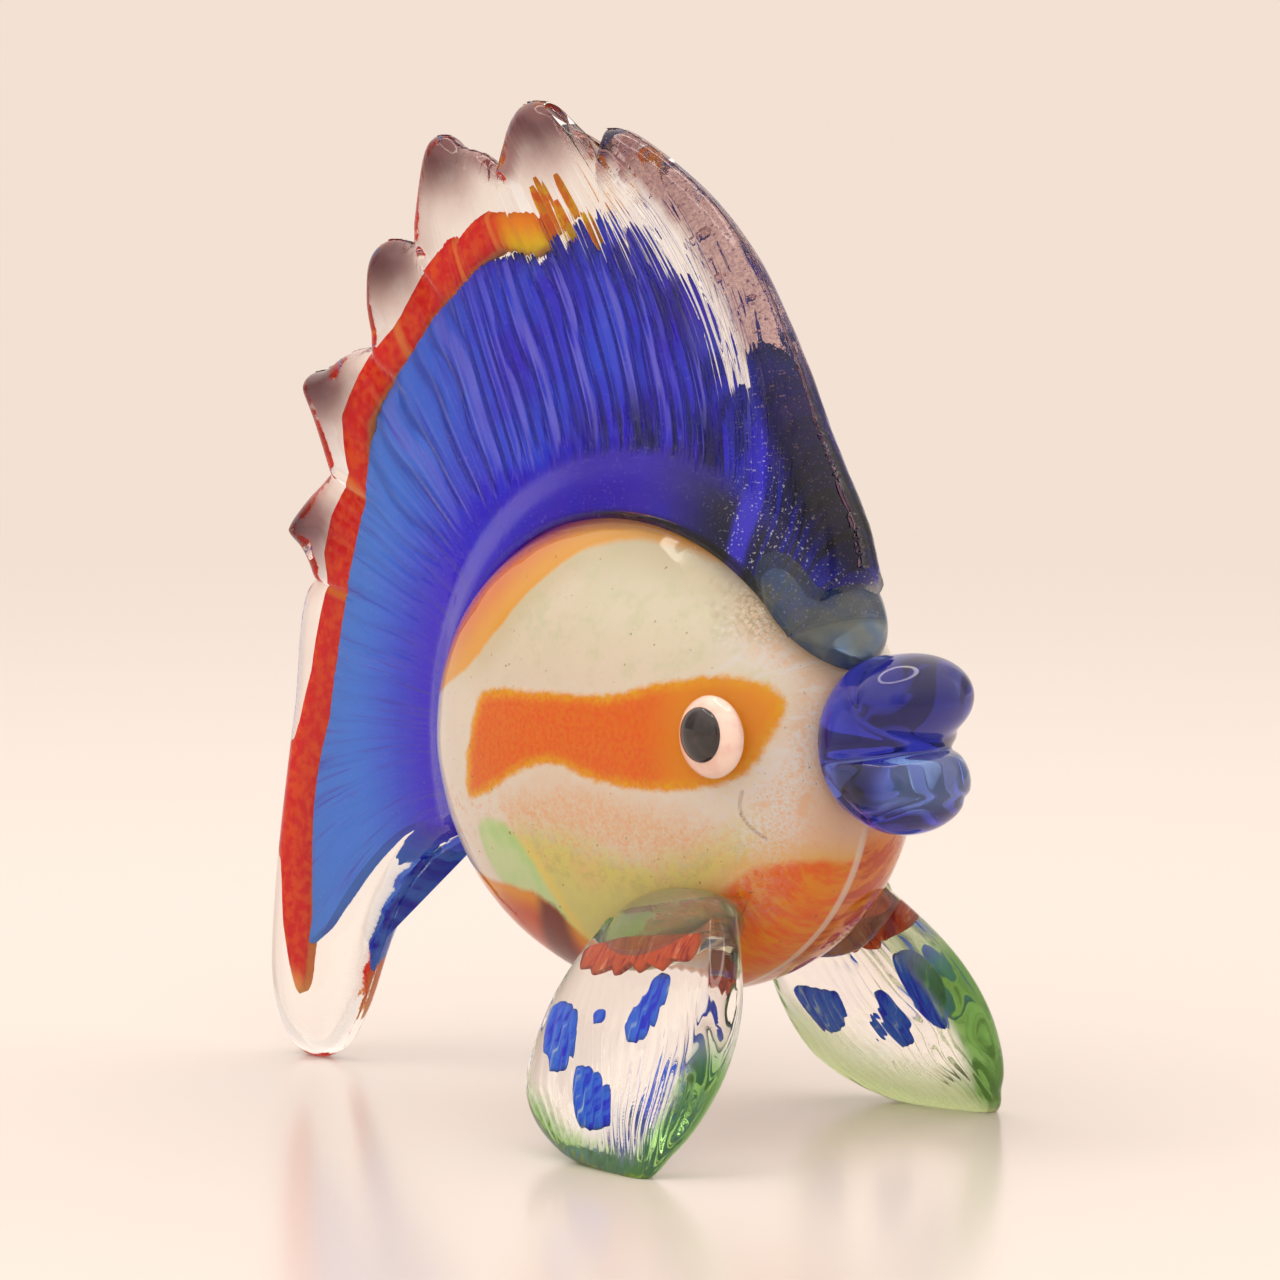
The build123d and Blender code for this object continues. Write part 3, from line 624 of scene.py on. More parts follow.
def web_sheet(columns, end_radius, rows, edge_round, inset_by, pressed, crowd, start_lift=0.0):
    """A sheet of the web from the body out: plane points, half thickness, edge distance, radii, columns."""
    seat = seat_angle(columns)
    start = rim_radius(seat, (web_half(rim_radius(seat)) - inset_by) * 0.98) + start_lift
    end = np.maximum(end_radius, start + 0.05)
    outward = 1 - (1 - np.linspace(0, 1, rows)) ** crowd
    radii = start[:, None] + (end - start)[:, None] * outward
    cols = np.repeat(columns[:, None], rows, axis=1)
    x, z = from_polar(radii, bent(cols, radii))
    z = np.maximum(z, -STANCE)
    flat = np.stack([x.ravel(), z.ravel()], -1)
    edge = outline_distance(flat, crest_line, closed=False).reshape(x.shape)
    half = web_half(radii) - inset_by + pressed * relief(cols, radii, x, z)
    for tx, tz in TIPS:
        half += 0.35 * np.exp(-((x - tx) ** 2 + (z - tz) ** 2) / 5.0)
    return x, z, half * quarter_round(edge / edge_round), edge, radii, cols


def sheet_mesh(name, x, z, half, columns, fields, base_rows=7):
    """Closes two faces into one skin: each column is a loop over one face, the rim, back, and the body."""
    y = half[:, :1] * np.linspace(1, -1, base_rows + 2)[1:-1]
    seat = seat_angle(columns)[:, None]
    base_x, base_z = from_polar(rim_radius(seat, y) + 0.02, seat)
    near = np.stack([x, -half, z], -1)
    far = np.stack([x, half, z], -1)[:, -2::-1]
    verts = np.concatenate([near, far, np.stack([base_x, y, base_z], -1)], axis=1)
    closed = {}
    for key, values in fields.items():
        base = values[:, :1].repeat(base_rows, axis=1)
        closed[key] = np.concatenate([values, values[:, -2::-1], base], axis=1)
    count, loop = verts.shape[:2]
    faces = grid_faces(count, loop, wrap_v=True)
    faces += [list(range(loop))[::-1], [(count - 1) * loop + i for i in range(loop)]]
    return make_mesh(name, verts.reshape(-1, 3), faces, closed)


def clear_web_material():
    """Clear glass, mauve along the front edge and in the lobes' tips."""
    g = Graph("crest_glass")
    edge, angle, near_tip = g.attr("edge"), g.attr("ang"), g.attr("tip")
    tip = g.ramp(g.scaled(g.noise(2.5, 2.0), 2.0, near_tip), 8.5, 2.0)
    wandering = g.scaled(g.noise(3.0, 3.0), 2.4, g.plus(g.attr("front"), -1.2))
    strip = g.ramp(g.math("SUBTRACT", g.ramp(angle, 38, 72, 2.4, 3.5), wandering), -0.5, 1.6)
    mauve = g.mix(g.ramp(g.noise(0.3, 3.0, 0.7), 0.35, 0.65), srgb(128, 88, 96), srgb(176, 130, 128))
    mauve = g.mix(g.ramp(angle, 72, 52), mauve, srgb(96, 66, 88))
    browner = g.mix(g.ramp(near_tip, 6.5, 0.5), srgb(198, 150, 142), srgb(96, 60, 66))
    grain = g.times(g.ramp(g.noise(0.22, 2.0), 0.5, 0.62), g.ramp(edge, 2.2, 0.4))
    mauve = g.mix(g.times(grain, 0.8), mauve, srgb(96, 62, 74))
    g.hue = g.mix(strip, srgb(255, 252, 249), mauve)
    g.lay(tip, browner)
    outline = g.times(g.ramp(edge, 1.6, 0.3), g.ramp(angle, 128, 112, 0.15, 1.0), g.ramp(angle, 97, 99))
    g.lay(outline, srgb(128, 84, 88))
    g.bump(g.noise(0.8, 3.0), 0.05)
    return g.set(Base_Color=g.hue, Roughness=0.02, IOR=1.4, Transmission_Weight=1.0)


FRONT_END = 98.3


def clear_web():
    columns = np.linspace(FIRST_RIB, LAST_RIB, 860)
    ends = np.array([column_end(c) for c in columns])
    x, z, half, edge, radii, cols = web_sheet(columns, ends, 96, 1.7, 0.0, 1.0, 1.9)
    angle = polar(x, z)[1]
    front = np.where(angle < FRONT_END, edge, 20.0) + np.interp(angle, [34, 38, 44], [6, 1.0, 0])
    tip = np.min([np.hypot(x - tx, z - tz) for tx, tz in TIPS], axis=0)
    fields = {"tip": tip, "front": front, "edge": edge, "ang": angle}
    web = sheet_mesh("crest_clear_web", x, z, half, columns, fields)
    finish_piece(web, clear_web_material(), "clear_glass", "crest_glass", "crest_front_tint", "crest_tips")


# The blue sheet's outer radius by the angle where a rib starts, before its edge frays out along the ribs
BLUE_END = [
    (33, 24), (36, 25.0), (40, 25.9), (46, 26.2), (50, 26.8), (53, 27.8), (56, 29.4), (57.6, 30.2),
    (59.2, 28.4), (61.2, 26.0), (62.6, 25.2), (64.0, 26.8), (66, 27.8), (69, 29.0), (72.5, 30.6),
    (76.6, 32.0), (81, 33.8), (84.5, 36.0), (88, 37.7), (94, 38.6), (102, 39.2), (110, 41.2), (116, 42.5),
    (122, 43.0), (132, 42.6), (137, 42.0), (142.6, 41.2), (148.6, 39.9), (153.6, 38.9), (161.8, 38.3),
    (172.7, 38.4), (181.5, 39.2), (192.2, 42.2), (198.6, 43.8), (203.5, 45.1), (205.6, 47.0), (206.4, 44.0),
    (206.8, 38.0), (207.2, 33.0), (208.4, 29.4), (211.5, 27.0), (214.0, 24.8), (216, 23.6)]
FRAY = ([44, 50, 60, 64, 70, 84, 92, 100, 112, 125], [0.4, 3.6, 4.6, 6.0, 9.0, 8.5, 6.0, 3.0, 0.6, 0.2])


def zigzag(phase):
    return np.abs(np.mod(phase, 1) * 2 - 1)


def blue_end(start):
    phase = start / 1.25 + 0.6 * np.sin(start * 0.8)
    height = np.random.RandomState(5).uniform(0.1, 1.0, 400)[np.floor(phase).astype(int) % 400] ** 1.6
    teeth = zigzag(phase) ** 1.3 * height + zigzag(phase * 2.6) * 0.16
    return np.interp(start, *zip(*BLUE_END)) + np.interp(start, *FRAY) * teeth


def blue_material():
    g = Graph("crest_blue")
    col, rad, wave, press = (g.attr(name) for name in ("col", "rad", "wave", "press"))
    comb = g.node("ShaderNodeCombineXYZ", g.times(col, 0.9), g.times(rad, 0.06))
    streaks, mist = g.noise(1.0, 3.0, 0.6, vector=comb), g.noise(7.0, 3.0)
    crest_blue = g.mix(g.ramp(mist, 0.35, 0.7), deep(58, 50, 176), deep(56, 66, 206))
    tail_blue = g.mix(g.ramp(rad, 25.0, 36.0), deep(64, 54, 190), deep(70, 104, 220))
    tail_blue = g.mix(g.ramp(streaks, 0.5, 0.7, 0.0, 0.4), tail_blue, deep(96, 84, 204))
    g.hue = g.mix(g.ramp(col, 116, 156), crest_blue, tail_blue)
    # Painted relief light: painted shade in the grooves between the ribs, then a painted highlight along
    # each rib's crest.
    g.lay(g.times(press, g.ramp(wave, 0.55, 0.15), 0.85), deep(34, 30, 110))
    rib_highlight = g.times(press, g.ramp(wave, 0.62, 0.92))
    g.lay(g.times(rib_highlight, g.ramp(streaks, 0.35, 0.6, 0.3, 0.8)), deep(96, 92, 208))
    g.lay(g.ramp(streaks, 0.52, 0.72, 0.0, 0.5), deep(34, 32, 128))
    # The violet ring along the body
    ring = g.mix(g.ramp(col, 100, 140), deep(60, 52, 142), deep(70, 58, 182))
    ring = g.mix(g.ramp(mist, 0.4, 0.65, 0.0, 0.5), ring, deep(52, 42, 160))
    collar = g.ramp(g.scaled(mist, 2.4, rad), 26.6, 23.6)
    g.lay(g.times(collar, g.ramp(col, 150, 120, 0.35, 0.9)), ring)
    # Painted shade where the ribs' feet meet the violet collar by the body.
    rib_feet_shade = g.between(rad, 23.0, 24.2, 25.4, 29.4)
    g.lay(g.times(rib_feet_shade, g.ramp(streaks, 0.4, 0.55), g.ramp(col, 118, 92, 0.0, 0.9)), deep(34, 30, 70))
    # The front corner: dusky by the body, dark up the edge, with one bright streak and white dots
    dusk = g.times(g.ramp(g.scaled(mist, 10.0, col), 94, 70), g.ramp(g.scaled(mist, 2.0, rad), 26.0, 23.0))
    g.lay(dusk, g.mix(g.ramp(mist, 0.4, 0.6), deep(34, 50, 74), deep(42, 40, 58)))
    dark = g.times(g.ramp(g.scaled(streaks, 8.0, col), 63, 52),
                   g.ramp(g.scaled(streaks, 5.0, rad), 33.5, 27.5))
    g.lay(dark, g.mix(g.ramp(streaks, 0.42, 0.6), deep(46, 44, 112), deep(42, 36, 62)))
    glow = g.times(g.between(col, 54.5, 57.0, 60.0, 62.5), g.ramp(rad, 31.0, 26.0), 0.85)
    g.lay(glow, deep(62, 58, 206))
    dots = g.ramp(g.noise(0.24, 1.0), 0.63, 0.71)
    g.lay(g.times(dots, g.ramp(col, 66, 60, 0.05, 0.65)), deep(206, 206, 222))
    return g.matte()


def blue_sheet():
    columns = np.linspace(35.2, 215.4, 1700)
    keep_in = np.interp(columns, [35, 60, 90], [0.9, 0.9, 1.2])
    limit = np.array([column_end(c) for c in columns]) - keep_in
    ends = np.minimum(blue_end(columns), limit)
    x, z, half, edge, radii, cols = web_sheet(columns, ends, 70, 2.6, 0.75, 0.3, 1.4, start_lift=0.25)
    half = np.maximum(half, 0) * quarter_round((radii[:, -1:] - radii) / 2.2)
    fields = {"col": cols, "rad": radii, "wave": rib_wave(cols, x, z), "press": rib_strength(cols, radii)}
    sheet = sheet_mesh("crest_blue_sheet", x, z, half, columns, fields)
    finish_piece(sheet, blue_material(), "cobalt_glass", "crest_blue")


# Strips of coloured glass inside the web, each between two lines given as radius by a rib's angle
RED_OUT = [
    (100.5, 43.6), (104, 44.6), (108, 45.2), (112.4, 46.0), (113.4, 46.3), (117.8, 46.3), (122, 46.0),
    (124.6, 45.4), (125.4, 46.2), (128.5, 46.4), (132, 46.0), (136.6, 44.9), (138.2, 44.8), (144, 45.6),
    (147.8, 45.2), (151.6, 42.0), (153.4, 41.9), (157.5, 42.5), (161.9, 42.2), (165.0, 40.9), (166.4, 41.2),
    (175.8, 41.9), (181.8, 43.4), (190.6, 46.4), (196.4, 47.9), (202, 49.4), (206, 50.0), (209.5, 50.2)]
RED_IN = [
    (100.5, 41.0), (104.8, 40.6), (108.2, 41.4), (112.4, 42.4), (120, 42.4), (124, 42.0), (132, 41.6),
    (137, 40.9), (141, 41.2), (146, 41.4), (151.5, 37.9), (153.6, 37.3), (161.8, 36.8), (172.7, 37.0),
    (181.5, 37.9), (192.2, 41.1), (198.6, 42.9), (203.5, 45.0), (207.5, 48.0), (209.5, 49.4)]
RED_SEAMS = (113.0, 124.9, 137.6, 152.4, 165.6)
THREAD_IN = [(139, 40.9), (146, 39.0), (152, 37.3)]
THREAD_OUT = [(139, 41.6), (146, 40.3), (152, 38.4)]
# Orange threads at the red band's front end: angle, inner and outer radius
ORANGE_THREADS = [(99.6, 40.6, 46.4), (97.4, 41.8, 47.0), (95.4, 40.2, 44.6), (92.2, 42.6, 46.6),
                  (90.0, 39.6, 43.0)]
ORANGE_WIDE = 0.9


def taper(places, length):
    """0 at both ends of a strip and 1 from a length in."""
    return quarter_round(np.minimum(places - places[0], places[-1] - places) / length)[:, None]


def strip_half(across):
    """The rounded section of a strip, from -1 to 1 across."""
    return np.sqrt(np.clip(1 - across ** 4, 0, 1))


def strip_mesh(name, x, z, half, fields):
    """A closed strip: one face, then the other, which shares the first one's two edges."""
    def around(front, back):
        return np.concatenate([front, back[:, -2:0:-1]], axis=1)

    verts = around(np.stack([x, -half, z], -1), np.stack([x, half, z], -1))
    fields = {key: around(values, values) for key, values in fields.items()}
    return make_mesh(name, verts.reshape(-1, 3), grid_faces(*verts.shape[:2], wrap_v=True), fields)


def band(name, first, last, inner, outer, thick, count, rows):
    start = np.linspace(first, last, count)
    low, high = (np.interp(start, *zip(*line))[:, None] for line in (inner, outer))
    across = np.repeat(np.linspace(-1, 1, rows)[None], count, axis=0)
    radii = (low + high) / 2 + (high - low) / 2 * across
    cols = np.repeat(start[:, None], rows, axis=1)
    x, z = from_polar(radii, bent(cols, radii))
    x += 0.9 * np.clip((-x - 26) / 10, 0, 1)
    half = thick * strip_half(across) * taper(start, 1.2) * np.minimum(1, web_half(radii) - 0.7)
    return strip_mesh(name, x, z, half, {"col": cols, "across": across})


def red_material():
    g = Graph("crest_red")
    col, across, streaks = g.attr("col"), g.attr("across"), g.noise(1.0, 4.0, 0.65)
    g.hue = g.mix(g.ramp(streaks, 0.4, 0.65), deep(194, 48, 34), deep(212, 66, 44))
    top_end = g.mix(g.ramp(across, 0.7, -0.7), deep(240, 104, 26), deep(250, 160, 40))
    g.lay(g.ramp(g.plus(col, g.times(streaks, 3.0)), 114.5, 110.0), top_end)
    # A painted highlight: a thin orange strip along the band's inner edge, next to the blue.
    g.lay(g.ramp(across, -0.7, -0.95, 0.0, 0.7), deep(238, 116, 66))
    g.lay(g.ramp(g.plus(col, across), 206.0, 209.0), deep(240, 124, 74))
    # Painted highlights: thin orange lines along the lobes' seams.
    for seam in RED_SEAMS:
        away = g.math("ABSOLUTE", g.math("SUBTRACT", col, seam))
        g.lay(g.ramp(away, 0.9, 0.1, 0.0, 0.5), deep(242, 120, 64))
    return g.matte()


def red_bands():
    red = red_material()
    wide = band("crest_red_band", 100.8, 209.0, RED_IN, RED_OUT, 1.25, 520, 14)
    finish_piece(wide, red, "red_glass", "crest_red")
    thread = band("crest_red_thread", 139.0, 152.0, THREAD_IN, THREAD_OUT, 0.8, 80, 10)
    finish_piece(thread, red, "red_glass")
    g = Graph("crest_orange")
    g.hue = g.mix(g.ramp(g.noise(1.5), 0.4, 0.6), deep(232, 96, 30), deep(250, 150, 50))
    orange = g.matte()
    for k, (first, low, high) in enumerate(ORANGE_THREADS):
        last = first + ORANGE_WIDE
        inner, outer = ([(first, r), (last, r)] for r in (low, high))
        strand = band(f"crest_orange_thread_{k}", first, last, inner, outer, 1.1, 16, 24)
        finish_piece(strand, orange, "red_glass")


def tail_streak():
    """The zigzag streak just inside the tail's lower edge."""
    r = np.linspace(28.5, 41.0, 200)
    degrees_per_mm = np.degrees(1 / r)
    low = np.interp(r, *UNDERSIDE) - 0.45 * degrees_per_mm
    tooth = np.mod((r - 27.5) / 3.1, 1) ** 1.8 * np.interp(r, [27.5, 31, 37, 41], [0.2, 0.5, 1.0, 0.5])
    wide = np.interp(r, [27.5, 31, 36, 39.5, 41], [0.3, 0.25, 0.4, 0.6, 0.3]) + tooth
    high = low - wide * degrees_per_mm
    across = np.linspace(-1, 1, 10)
    x, z = from_polar(r[:, None], (low + high)[:, None] / 2 + (high - low)[:, None] / 2 * across)
    half = 0.55 * strip_half(across) * taper(r, 1.5)
    g = Graph("tail_streak_blue")
    g.hue = g.mix(g.ramp(g.noise(2.0), 0.4, 0.6), deep(40, 52, 140), deep(60, 84, 184))
    finish_piece(strip_mesh("crest_tail_streak", x, z, half, {}), g.matte(), "cobalt_glass")


clear_web()
blue_sheet()
red_bands()
tail_streak()


# Blobs: smooth unions of ellipsoids, found along rays from a middle point
def blob(name, middle, parts, blend, detail, shift):
    rays, quads = cube_sphere(detail)
    middle = np.asarray(middle, float)

    def depth(p):
        total = np.zeros(len(p))
        for centre, semi in parts:
            k = np.linalg.norm((p - centre) / semi, axis=1)
            total += np.exp(-(k - 1) * min(semi) / blend)
        return -blend * np.log(total)

    low, high = np.zeros(len(rays)), np.full(len(rays), 30.0)
    for _ in range(40):
        mid = (low + high) / 2
        out = depth(middle + rays * mid[:, None]) > 0
        low, high = np.where(out, low, mid), np.where(out, mid, high)
    return make_mesh(name, shift(middle + rays * low[:, None]), quads)


def ellipsoid(name, semi, blend, detail, shift):
    return blob(name, (0, 0, 0), [((0, 0, 0), semi)], blend, detail, shift)


# Lips: three ellipsoids, and two creases that bound the hollow between them
LIP_BLOBS = [((22.9, 0, 2.6), (4.5, 6.2, 6.5)), ((25.5, 0, 6.0), (3.75, 5.7, 3.45)),
             ((25.2, 0, -0.7), (3.75, 5.7, 3.75))]
LIP_MIDDLE, CREASE_MIDDLE = (24.6, 0, 2.5), (24.6, 0, 1.0)
LOW_CREASE = ([21.0, 22.2, 23.4, 24.8, 26.4, 28.4, 30], [0.9, -0.6, -2.1, -2.8, -2.5, -1.5, -1.2])


def lip_creases(p):
    x, z = p[:, 0], p[:, 2]
    low = np.interp(x, *LOW_CREASE)
    high = 2.45 - 0.16 * np.clip(28.5 - x, 0, 9)
    dent = 0.55 * np.exp(-((z - high) / 0.5) ** 2)
    dent += 0.3 * np.exp(-((z - low) / 0.45) ** 2) * np.clip((29.2 - x) / 2, 0, 1)
    dent *= np.clip((x - 21.2) / 1.6, 0, 1)
    away = p - CREASE_MIDDLE
    return outside_body(p - away / np.linalg.norm(away, axis=1, keepdims=True) * dent[:, None])


def lips():
    g = Graph("cobalt_lips")
    x, z = (g.node("ShaderNodeSeparateXYZ", g.coords(), out=axis) for axis in "XZ")
    x, z = g.scaled(x, 1 / MM, -BODY_X), g.scaled(z, 1 / MM, -STANCE)
    z = g.plus(z, g.scaled(g.noise(3.0, 2.0), 1.6, -0.8))
    g.hue = g.mix(g.ramp(z, 4.2, 8.5), srgb(46, 52, 176), srgb(34, 38, 140))
    g.lay(g.ramp(x, 24.6, 22.2, 0.0, 0.8), srgb(58, 66, 206))
    # Painted light: pale blue at the front of the hollow, where the bright backdrop would show through the
    # lips.
    hollow = g.between(z, -2.6, -1.2, 1.6, 2.4)
    g.lay(g.times(hollow, g.ramp(x, 25.8, 28.0, 0.1, 0.95)), srgb(150, 190, 252))
    # Painted shade in the hollow between the lips' two creases.
    pocket_shade = g.times(g.between(z, -2.4, -1.4, 1.2, 2.0), g.between(x, 22.0, 23.4, 25.6, 27.4))
    g.lay(g.times(pocket_shade, 0.92), srgb(8, 10, 52))
    g.lay(g.ramp(z, -2.4, -4.2, 0.0, 0.9), srgb(70, 46, 236))
    g.set(Base_Color=g.hue, Roughness=0.015, IOR=1.5, Transmission_Weight=0.85)
    piece = blob("lips", LIP_MIDDLE, LIP_BLOBS, 0.32, 90, lip_creases)
    finish_piece(piece, g.data, "cobalt_glass", "lips")


DROP_AT, DROP_TILT = 38.6, math.radians(50)


def forehead_drop():
    x, z = from_polar(rim_radius(DROP_AT), DROP_AT)
    piece = ellipsoid("crest_foot_drop", (6.4, 5.4, 3.2), 0.2, 50,
                      lambda p: outside_body(turn(p, "Y", DROP_TILT) + [x, 0, z]))
    g = Graph("blue_grey_drop")
    g.hue = g.mix(g.ramp(g.noise(3.0, 3.0), 0.35, 0.65), srgb(112, 150, 196), srgb(176, 186, 176))
    g.set(Base_Color=g.hue, Roughness=0.04, IOR=1.35, Transmission_Weight=0.85)
    finish_piece(piece, g.data, "blue_grey_glass", "crest_foot")


# Eyes: shares of the body's halves, then how far white and pupil sit from that place
EYE_X, EYE_Z = 0.62 * HALF[0], 0.165 * HALF[2]
WHITE_SHIFT, PUPIL_SHIFT = (0.4, 0, -0.2), (0.35, 1.15, 0.05)
WHITE_HALF, PUPIL_HALF = (3.15, 1.45, 3.2), (2.05, 0.8, 2.15)


def eye(side, sign):
    flank = np.array([EYE_X, flank_y(EYE_X, EYE_Z), EYE_Z])
    mirror = [1, sign, 1]
    white = ellipsoid("eye_white_" + side, WHITE_HALF, 0.1, 40,
                      lambda p: outside_body(p + (flank + WHITE_SHIFT) * mirror))
    g = Graph("eye_white_" + side)
    cream = g.mix(g.ramp(g.noise(1.5), 0.4, 0.7), srgb(244, 214, 200), srgb(236, 196, 180))
    g.set(Base_Color=cream, Roughness=0.12, Coat_Weight=0.6)
    finish_piece(white, g.data, "white_glass", "eye_white_" + side)
    pupil = ellipsoid("pupil_" + side, PUPIL_HALF, 0.1, 32, lambda p: p + (flank + PUPIL_SHIFT) * mirror)
    g = Graph("pupil_" + side)
    black = g.mix(g.ramp(g.noise(1.0), 0.5, 0.7), srgb(26, 18, 20), srgb(52, 34, 30))
    g.set(Base_Color=black, Roughness=0.06, Coat_Weight=0.5)
    finish_piece(pupil, g.data, "black_glass", "pupil_" + side)


lips()
forehead_drop()
for side, sign in (("right", -1), ("left", 1)):
    eye(side, sign)


# Pectoral fins: a leaf in its own plane, placed by lengths along it, across it and out of it
ROOT, TIP = np.array([9.0, -9.3, -13.0]), np.array([16.3, -20.2, -29.9])
TWIST = math.radians(4.0)
along = (TIP - ROOT) / np.linalg.norm(TIP - ROOT)
across = np.array([1.0, 0, 0]) - along * along[0]
across /= np.linalg.norm(across)
across = np.array(Matrix.Rotation(TWIST, 3, Vector(along))) @ across
outward = np.cross(along, across)
outward *= -np.sign(outward[1])

LEAF_EDGE = rounded([
    (-4.0, -5.0), (-1.9, -7.2), (0.5, -9.2), (3.3, -10.9), (7.0, -12.3), (10.1, -12.8), (12.4, -12.2),
    (14.8, -10.6), (17.2, -8.1), (19.0, -5.0), (20.4, -2.1), (21.2, -0.3), (20.9, 1.1), (19.7, 2.3),
    (18.4, 3.8), (16.5, 5.2), (13.6, 6.6), (10.3, 7.4), (6.8, 7.5), (2.3, 6.8), (-1.5, 5.9), (-4.0, 5.0)])
SPINE_C = -2.7
SPOTS = {"right": [
    [(4.0, -9.9), (4.6, -8.3), (6.2, -7.2), (8.6, -7.3), (10.2, -8.0), (9.9, -9.6), (7.6, -10.6),
     (5.4, -10.8)],
    [(4.2, 0.4), (5.0, 1.6), (7.0, 1.2), (9.0, 0.2), (9.8, -1.0), (9.0, -2.2), (7.6, -2.4), (6.0, -0.8)],
    [(10.4, -6.8), (10.9, -5.2), (12.6, -3.6), (14.6, -2.8), (16.0, -2.8), (16.2, -4.6), (15.0, -6.4),
     (12.4, -7.2)],
    [(6.1, -5.8), (6.0, -4.8), (6.8, -4.5), (7.1, -5.4)],
], "left": [
    [(5.2, 2.8), (5.4, 4.2), (7.6, 4.8), (10.0, 4.2), (12.4, 2.6), (10.8, 1.6), (8.0, 1.8)],
    [(4.8, -8.8), (5.6, -6.6), (6.6, -5.0), (8.8, -6.2), (9.6, -8.2), (8.8, -9.6), (6.2, -9.8)],
    [(7.4, -1.2), (8.0, 0.0), (10.2, -0.2), (12.2, -1.0), (12.6, -2.6), (11.0, -3.2), (9.0, -2.2)],
    [(9.2, -3.6), (9.3, -2.9), (11.4, -3.6), (11.2, -4.4)],
]}
SPOT_HALVES, SPOT_LIFT = (0.35, 0.35, 0.35, 0.2), 0.45
BAND = [(0.0, -7.0), (0.3, -3.0), (1.0, 0.5), (1.6, 3.6), (1.9, 4.6), (3.2, 4.6), (4.2, 3.8), (3.5, 2.6),
        (4.5, 1.4), (3.6, 0.3), (4.1, -1.0), (3.1, -2.0), (3.7, -3.4), (2.5, -4.4), (3.0, -5.8),
        (1.9, -6.6), (2.0, -7.4), (0.9, -7.6)]
BAND_HALF, BAND_LIFT = 0.6, 1.5
PAD_HALF, PAD_BACK = (6.3, 3.8, 3.4), 0.4
# Where the green of the side rim fades in, by edge distance, across and along, and how pale the blade is
GREEN_SIDE = {"right": ((2.2, 0.8), (1.0, 4.0), (9.0, 14.0)), "left": ((2.7, 1.2), (-1.0, 2.0), (1.0, 8.0))}
PALE_BLADE = {"right": 0.0, "left": 0.9}
LEAF_SEED = {"right": 22, "left": 20}
MIRROR = {"right": np.array([1, 1, 1]), "left": np.array([1, -1, 1])}


def fin_points(l, c, out):
    return ROOT + np.outer(l, along) + np.outer(c, across) + np.outer(out, outward)


def leaf_half(l, c):
    """Half thickness of the leaf at a place, a lens with a rounded rim, and its distance from the edge."""
    bulge = np.clip(2.9 - ((l - 8.0) ** 2 + (c - SPINE_C) ** 2) / 88.0, 0.5, 3)
    edge = -outline_distance(np.stack([l, c], -1), LEAF_EDGE)
    return bulge * quarter_round(edge / 1.6), edge


def fin_ribs(l, c, seed):
    wobble = 0.35 * waves(np.stack([l, c], -1), 8.0, seed)
    spread = (c + 2.0) / np.interp(l, [0, 12, 21], [1.0, 1.12, 0.55])
    wave = np.abs(np.sin(np.pi * (spread / 0.92 + wobble))) ** 0.8
    by_length = np.interp(l, [0, 4, 9, 18, 21], [0.0, 0.35, 1.0, 0.9, 0.3])
    by_side = np.interp(c, [-12, -9.5, 2.5, 4.5], [0.3, 1, 1, 0.1])
    return 0.11 * by_length * by_side * (wave - 0.6)


def leaf(side):
    """Rings shrink from the outline to the leaf's spine: one face from the spine out, then the other."""
    outline = rounded(LEAF_EDGE[::4], 5)
    count = len(outline)
    share = np.append(1 - np.linspace(0, 1, 64)[:-1] ** 1.7, 0.0)
    spine = np.stack([np.clip(outline[:, 0], 1.0, 15.0) * 0.75 + 1.5, np.full(count, SPINE_C)], -1)
    rings = spine[:, None, :] + (outline - spine)[:, None, :] * share[None, :, None]
    l, c = rings.reshape(-1, 2).T
    half, edge = leaf_half(l, c)
    rib = fin_ribs(l, c, LEAF_SEED[side]) * np.clip(edge / 1.2, 0, 1)

    def both(front, back):
        front, back = (values.reshape(count, len(share), -1) for values in (front, back))
        return np.concatenate([front[:, ::-1], back[:, 1:]], axis=1)

    verts = both(fin_points(l, c, half + rib), fin_points(l, c, -half - rib * 0.7))
    faces = grid_faces(*verts.shape[:2], wrap_u=True)
    verts = verts.reshape(-1, 3)
    verts[:, 2] = np.maximum(verts[:, 2], -STANCE)
    verts = outside_body(verts, 0.0) * MIRROR[side]
    fields = {"edge": both(edge, edge), "l": both(l, l), "c": both(c, c)}
    return make_mesh("fin_leaf_" + side, verts, faces, fields)


def flake(name, outline, side, thick, lift, rows=12):
    """A flake of coloured glass in the leaf, from the middle out over one face and back over the other."""
    line = rounded(outline, 6)
    out = np.linspace(0, 1, rows)
    share = np.concatenate([out, out[-2::-1]])
    rings = line.mean(0) + (line - line.mean(0))[:, None, :] * share[None, :, None]
    height = thick * np.sqrt(np.clip(1 - share ** 6, 0, 1))
    height[rows:] *= -1
    verts = fin_points(*rings.reshape(-1, 2).T, np.tile(height, len(line)) + lift) * MIRROR[side]
    return make_mesh(name, verts, grid_faces(len(line), len(share), wrap_u=True))


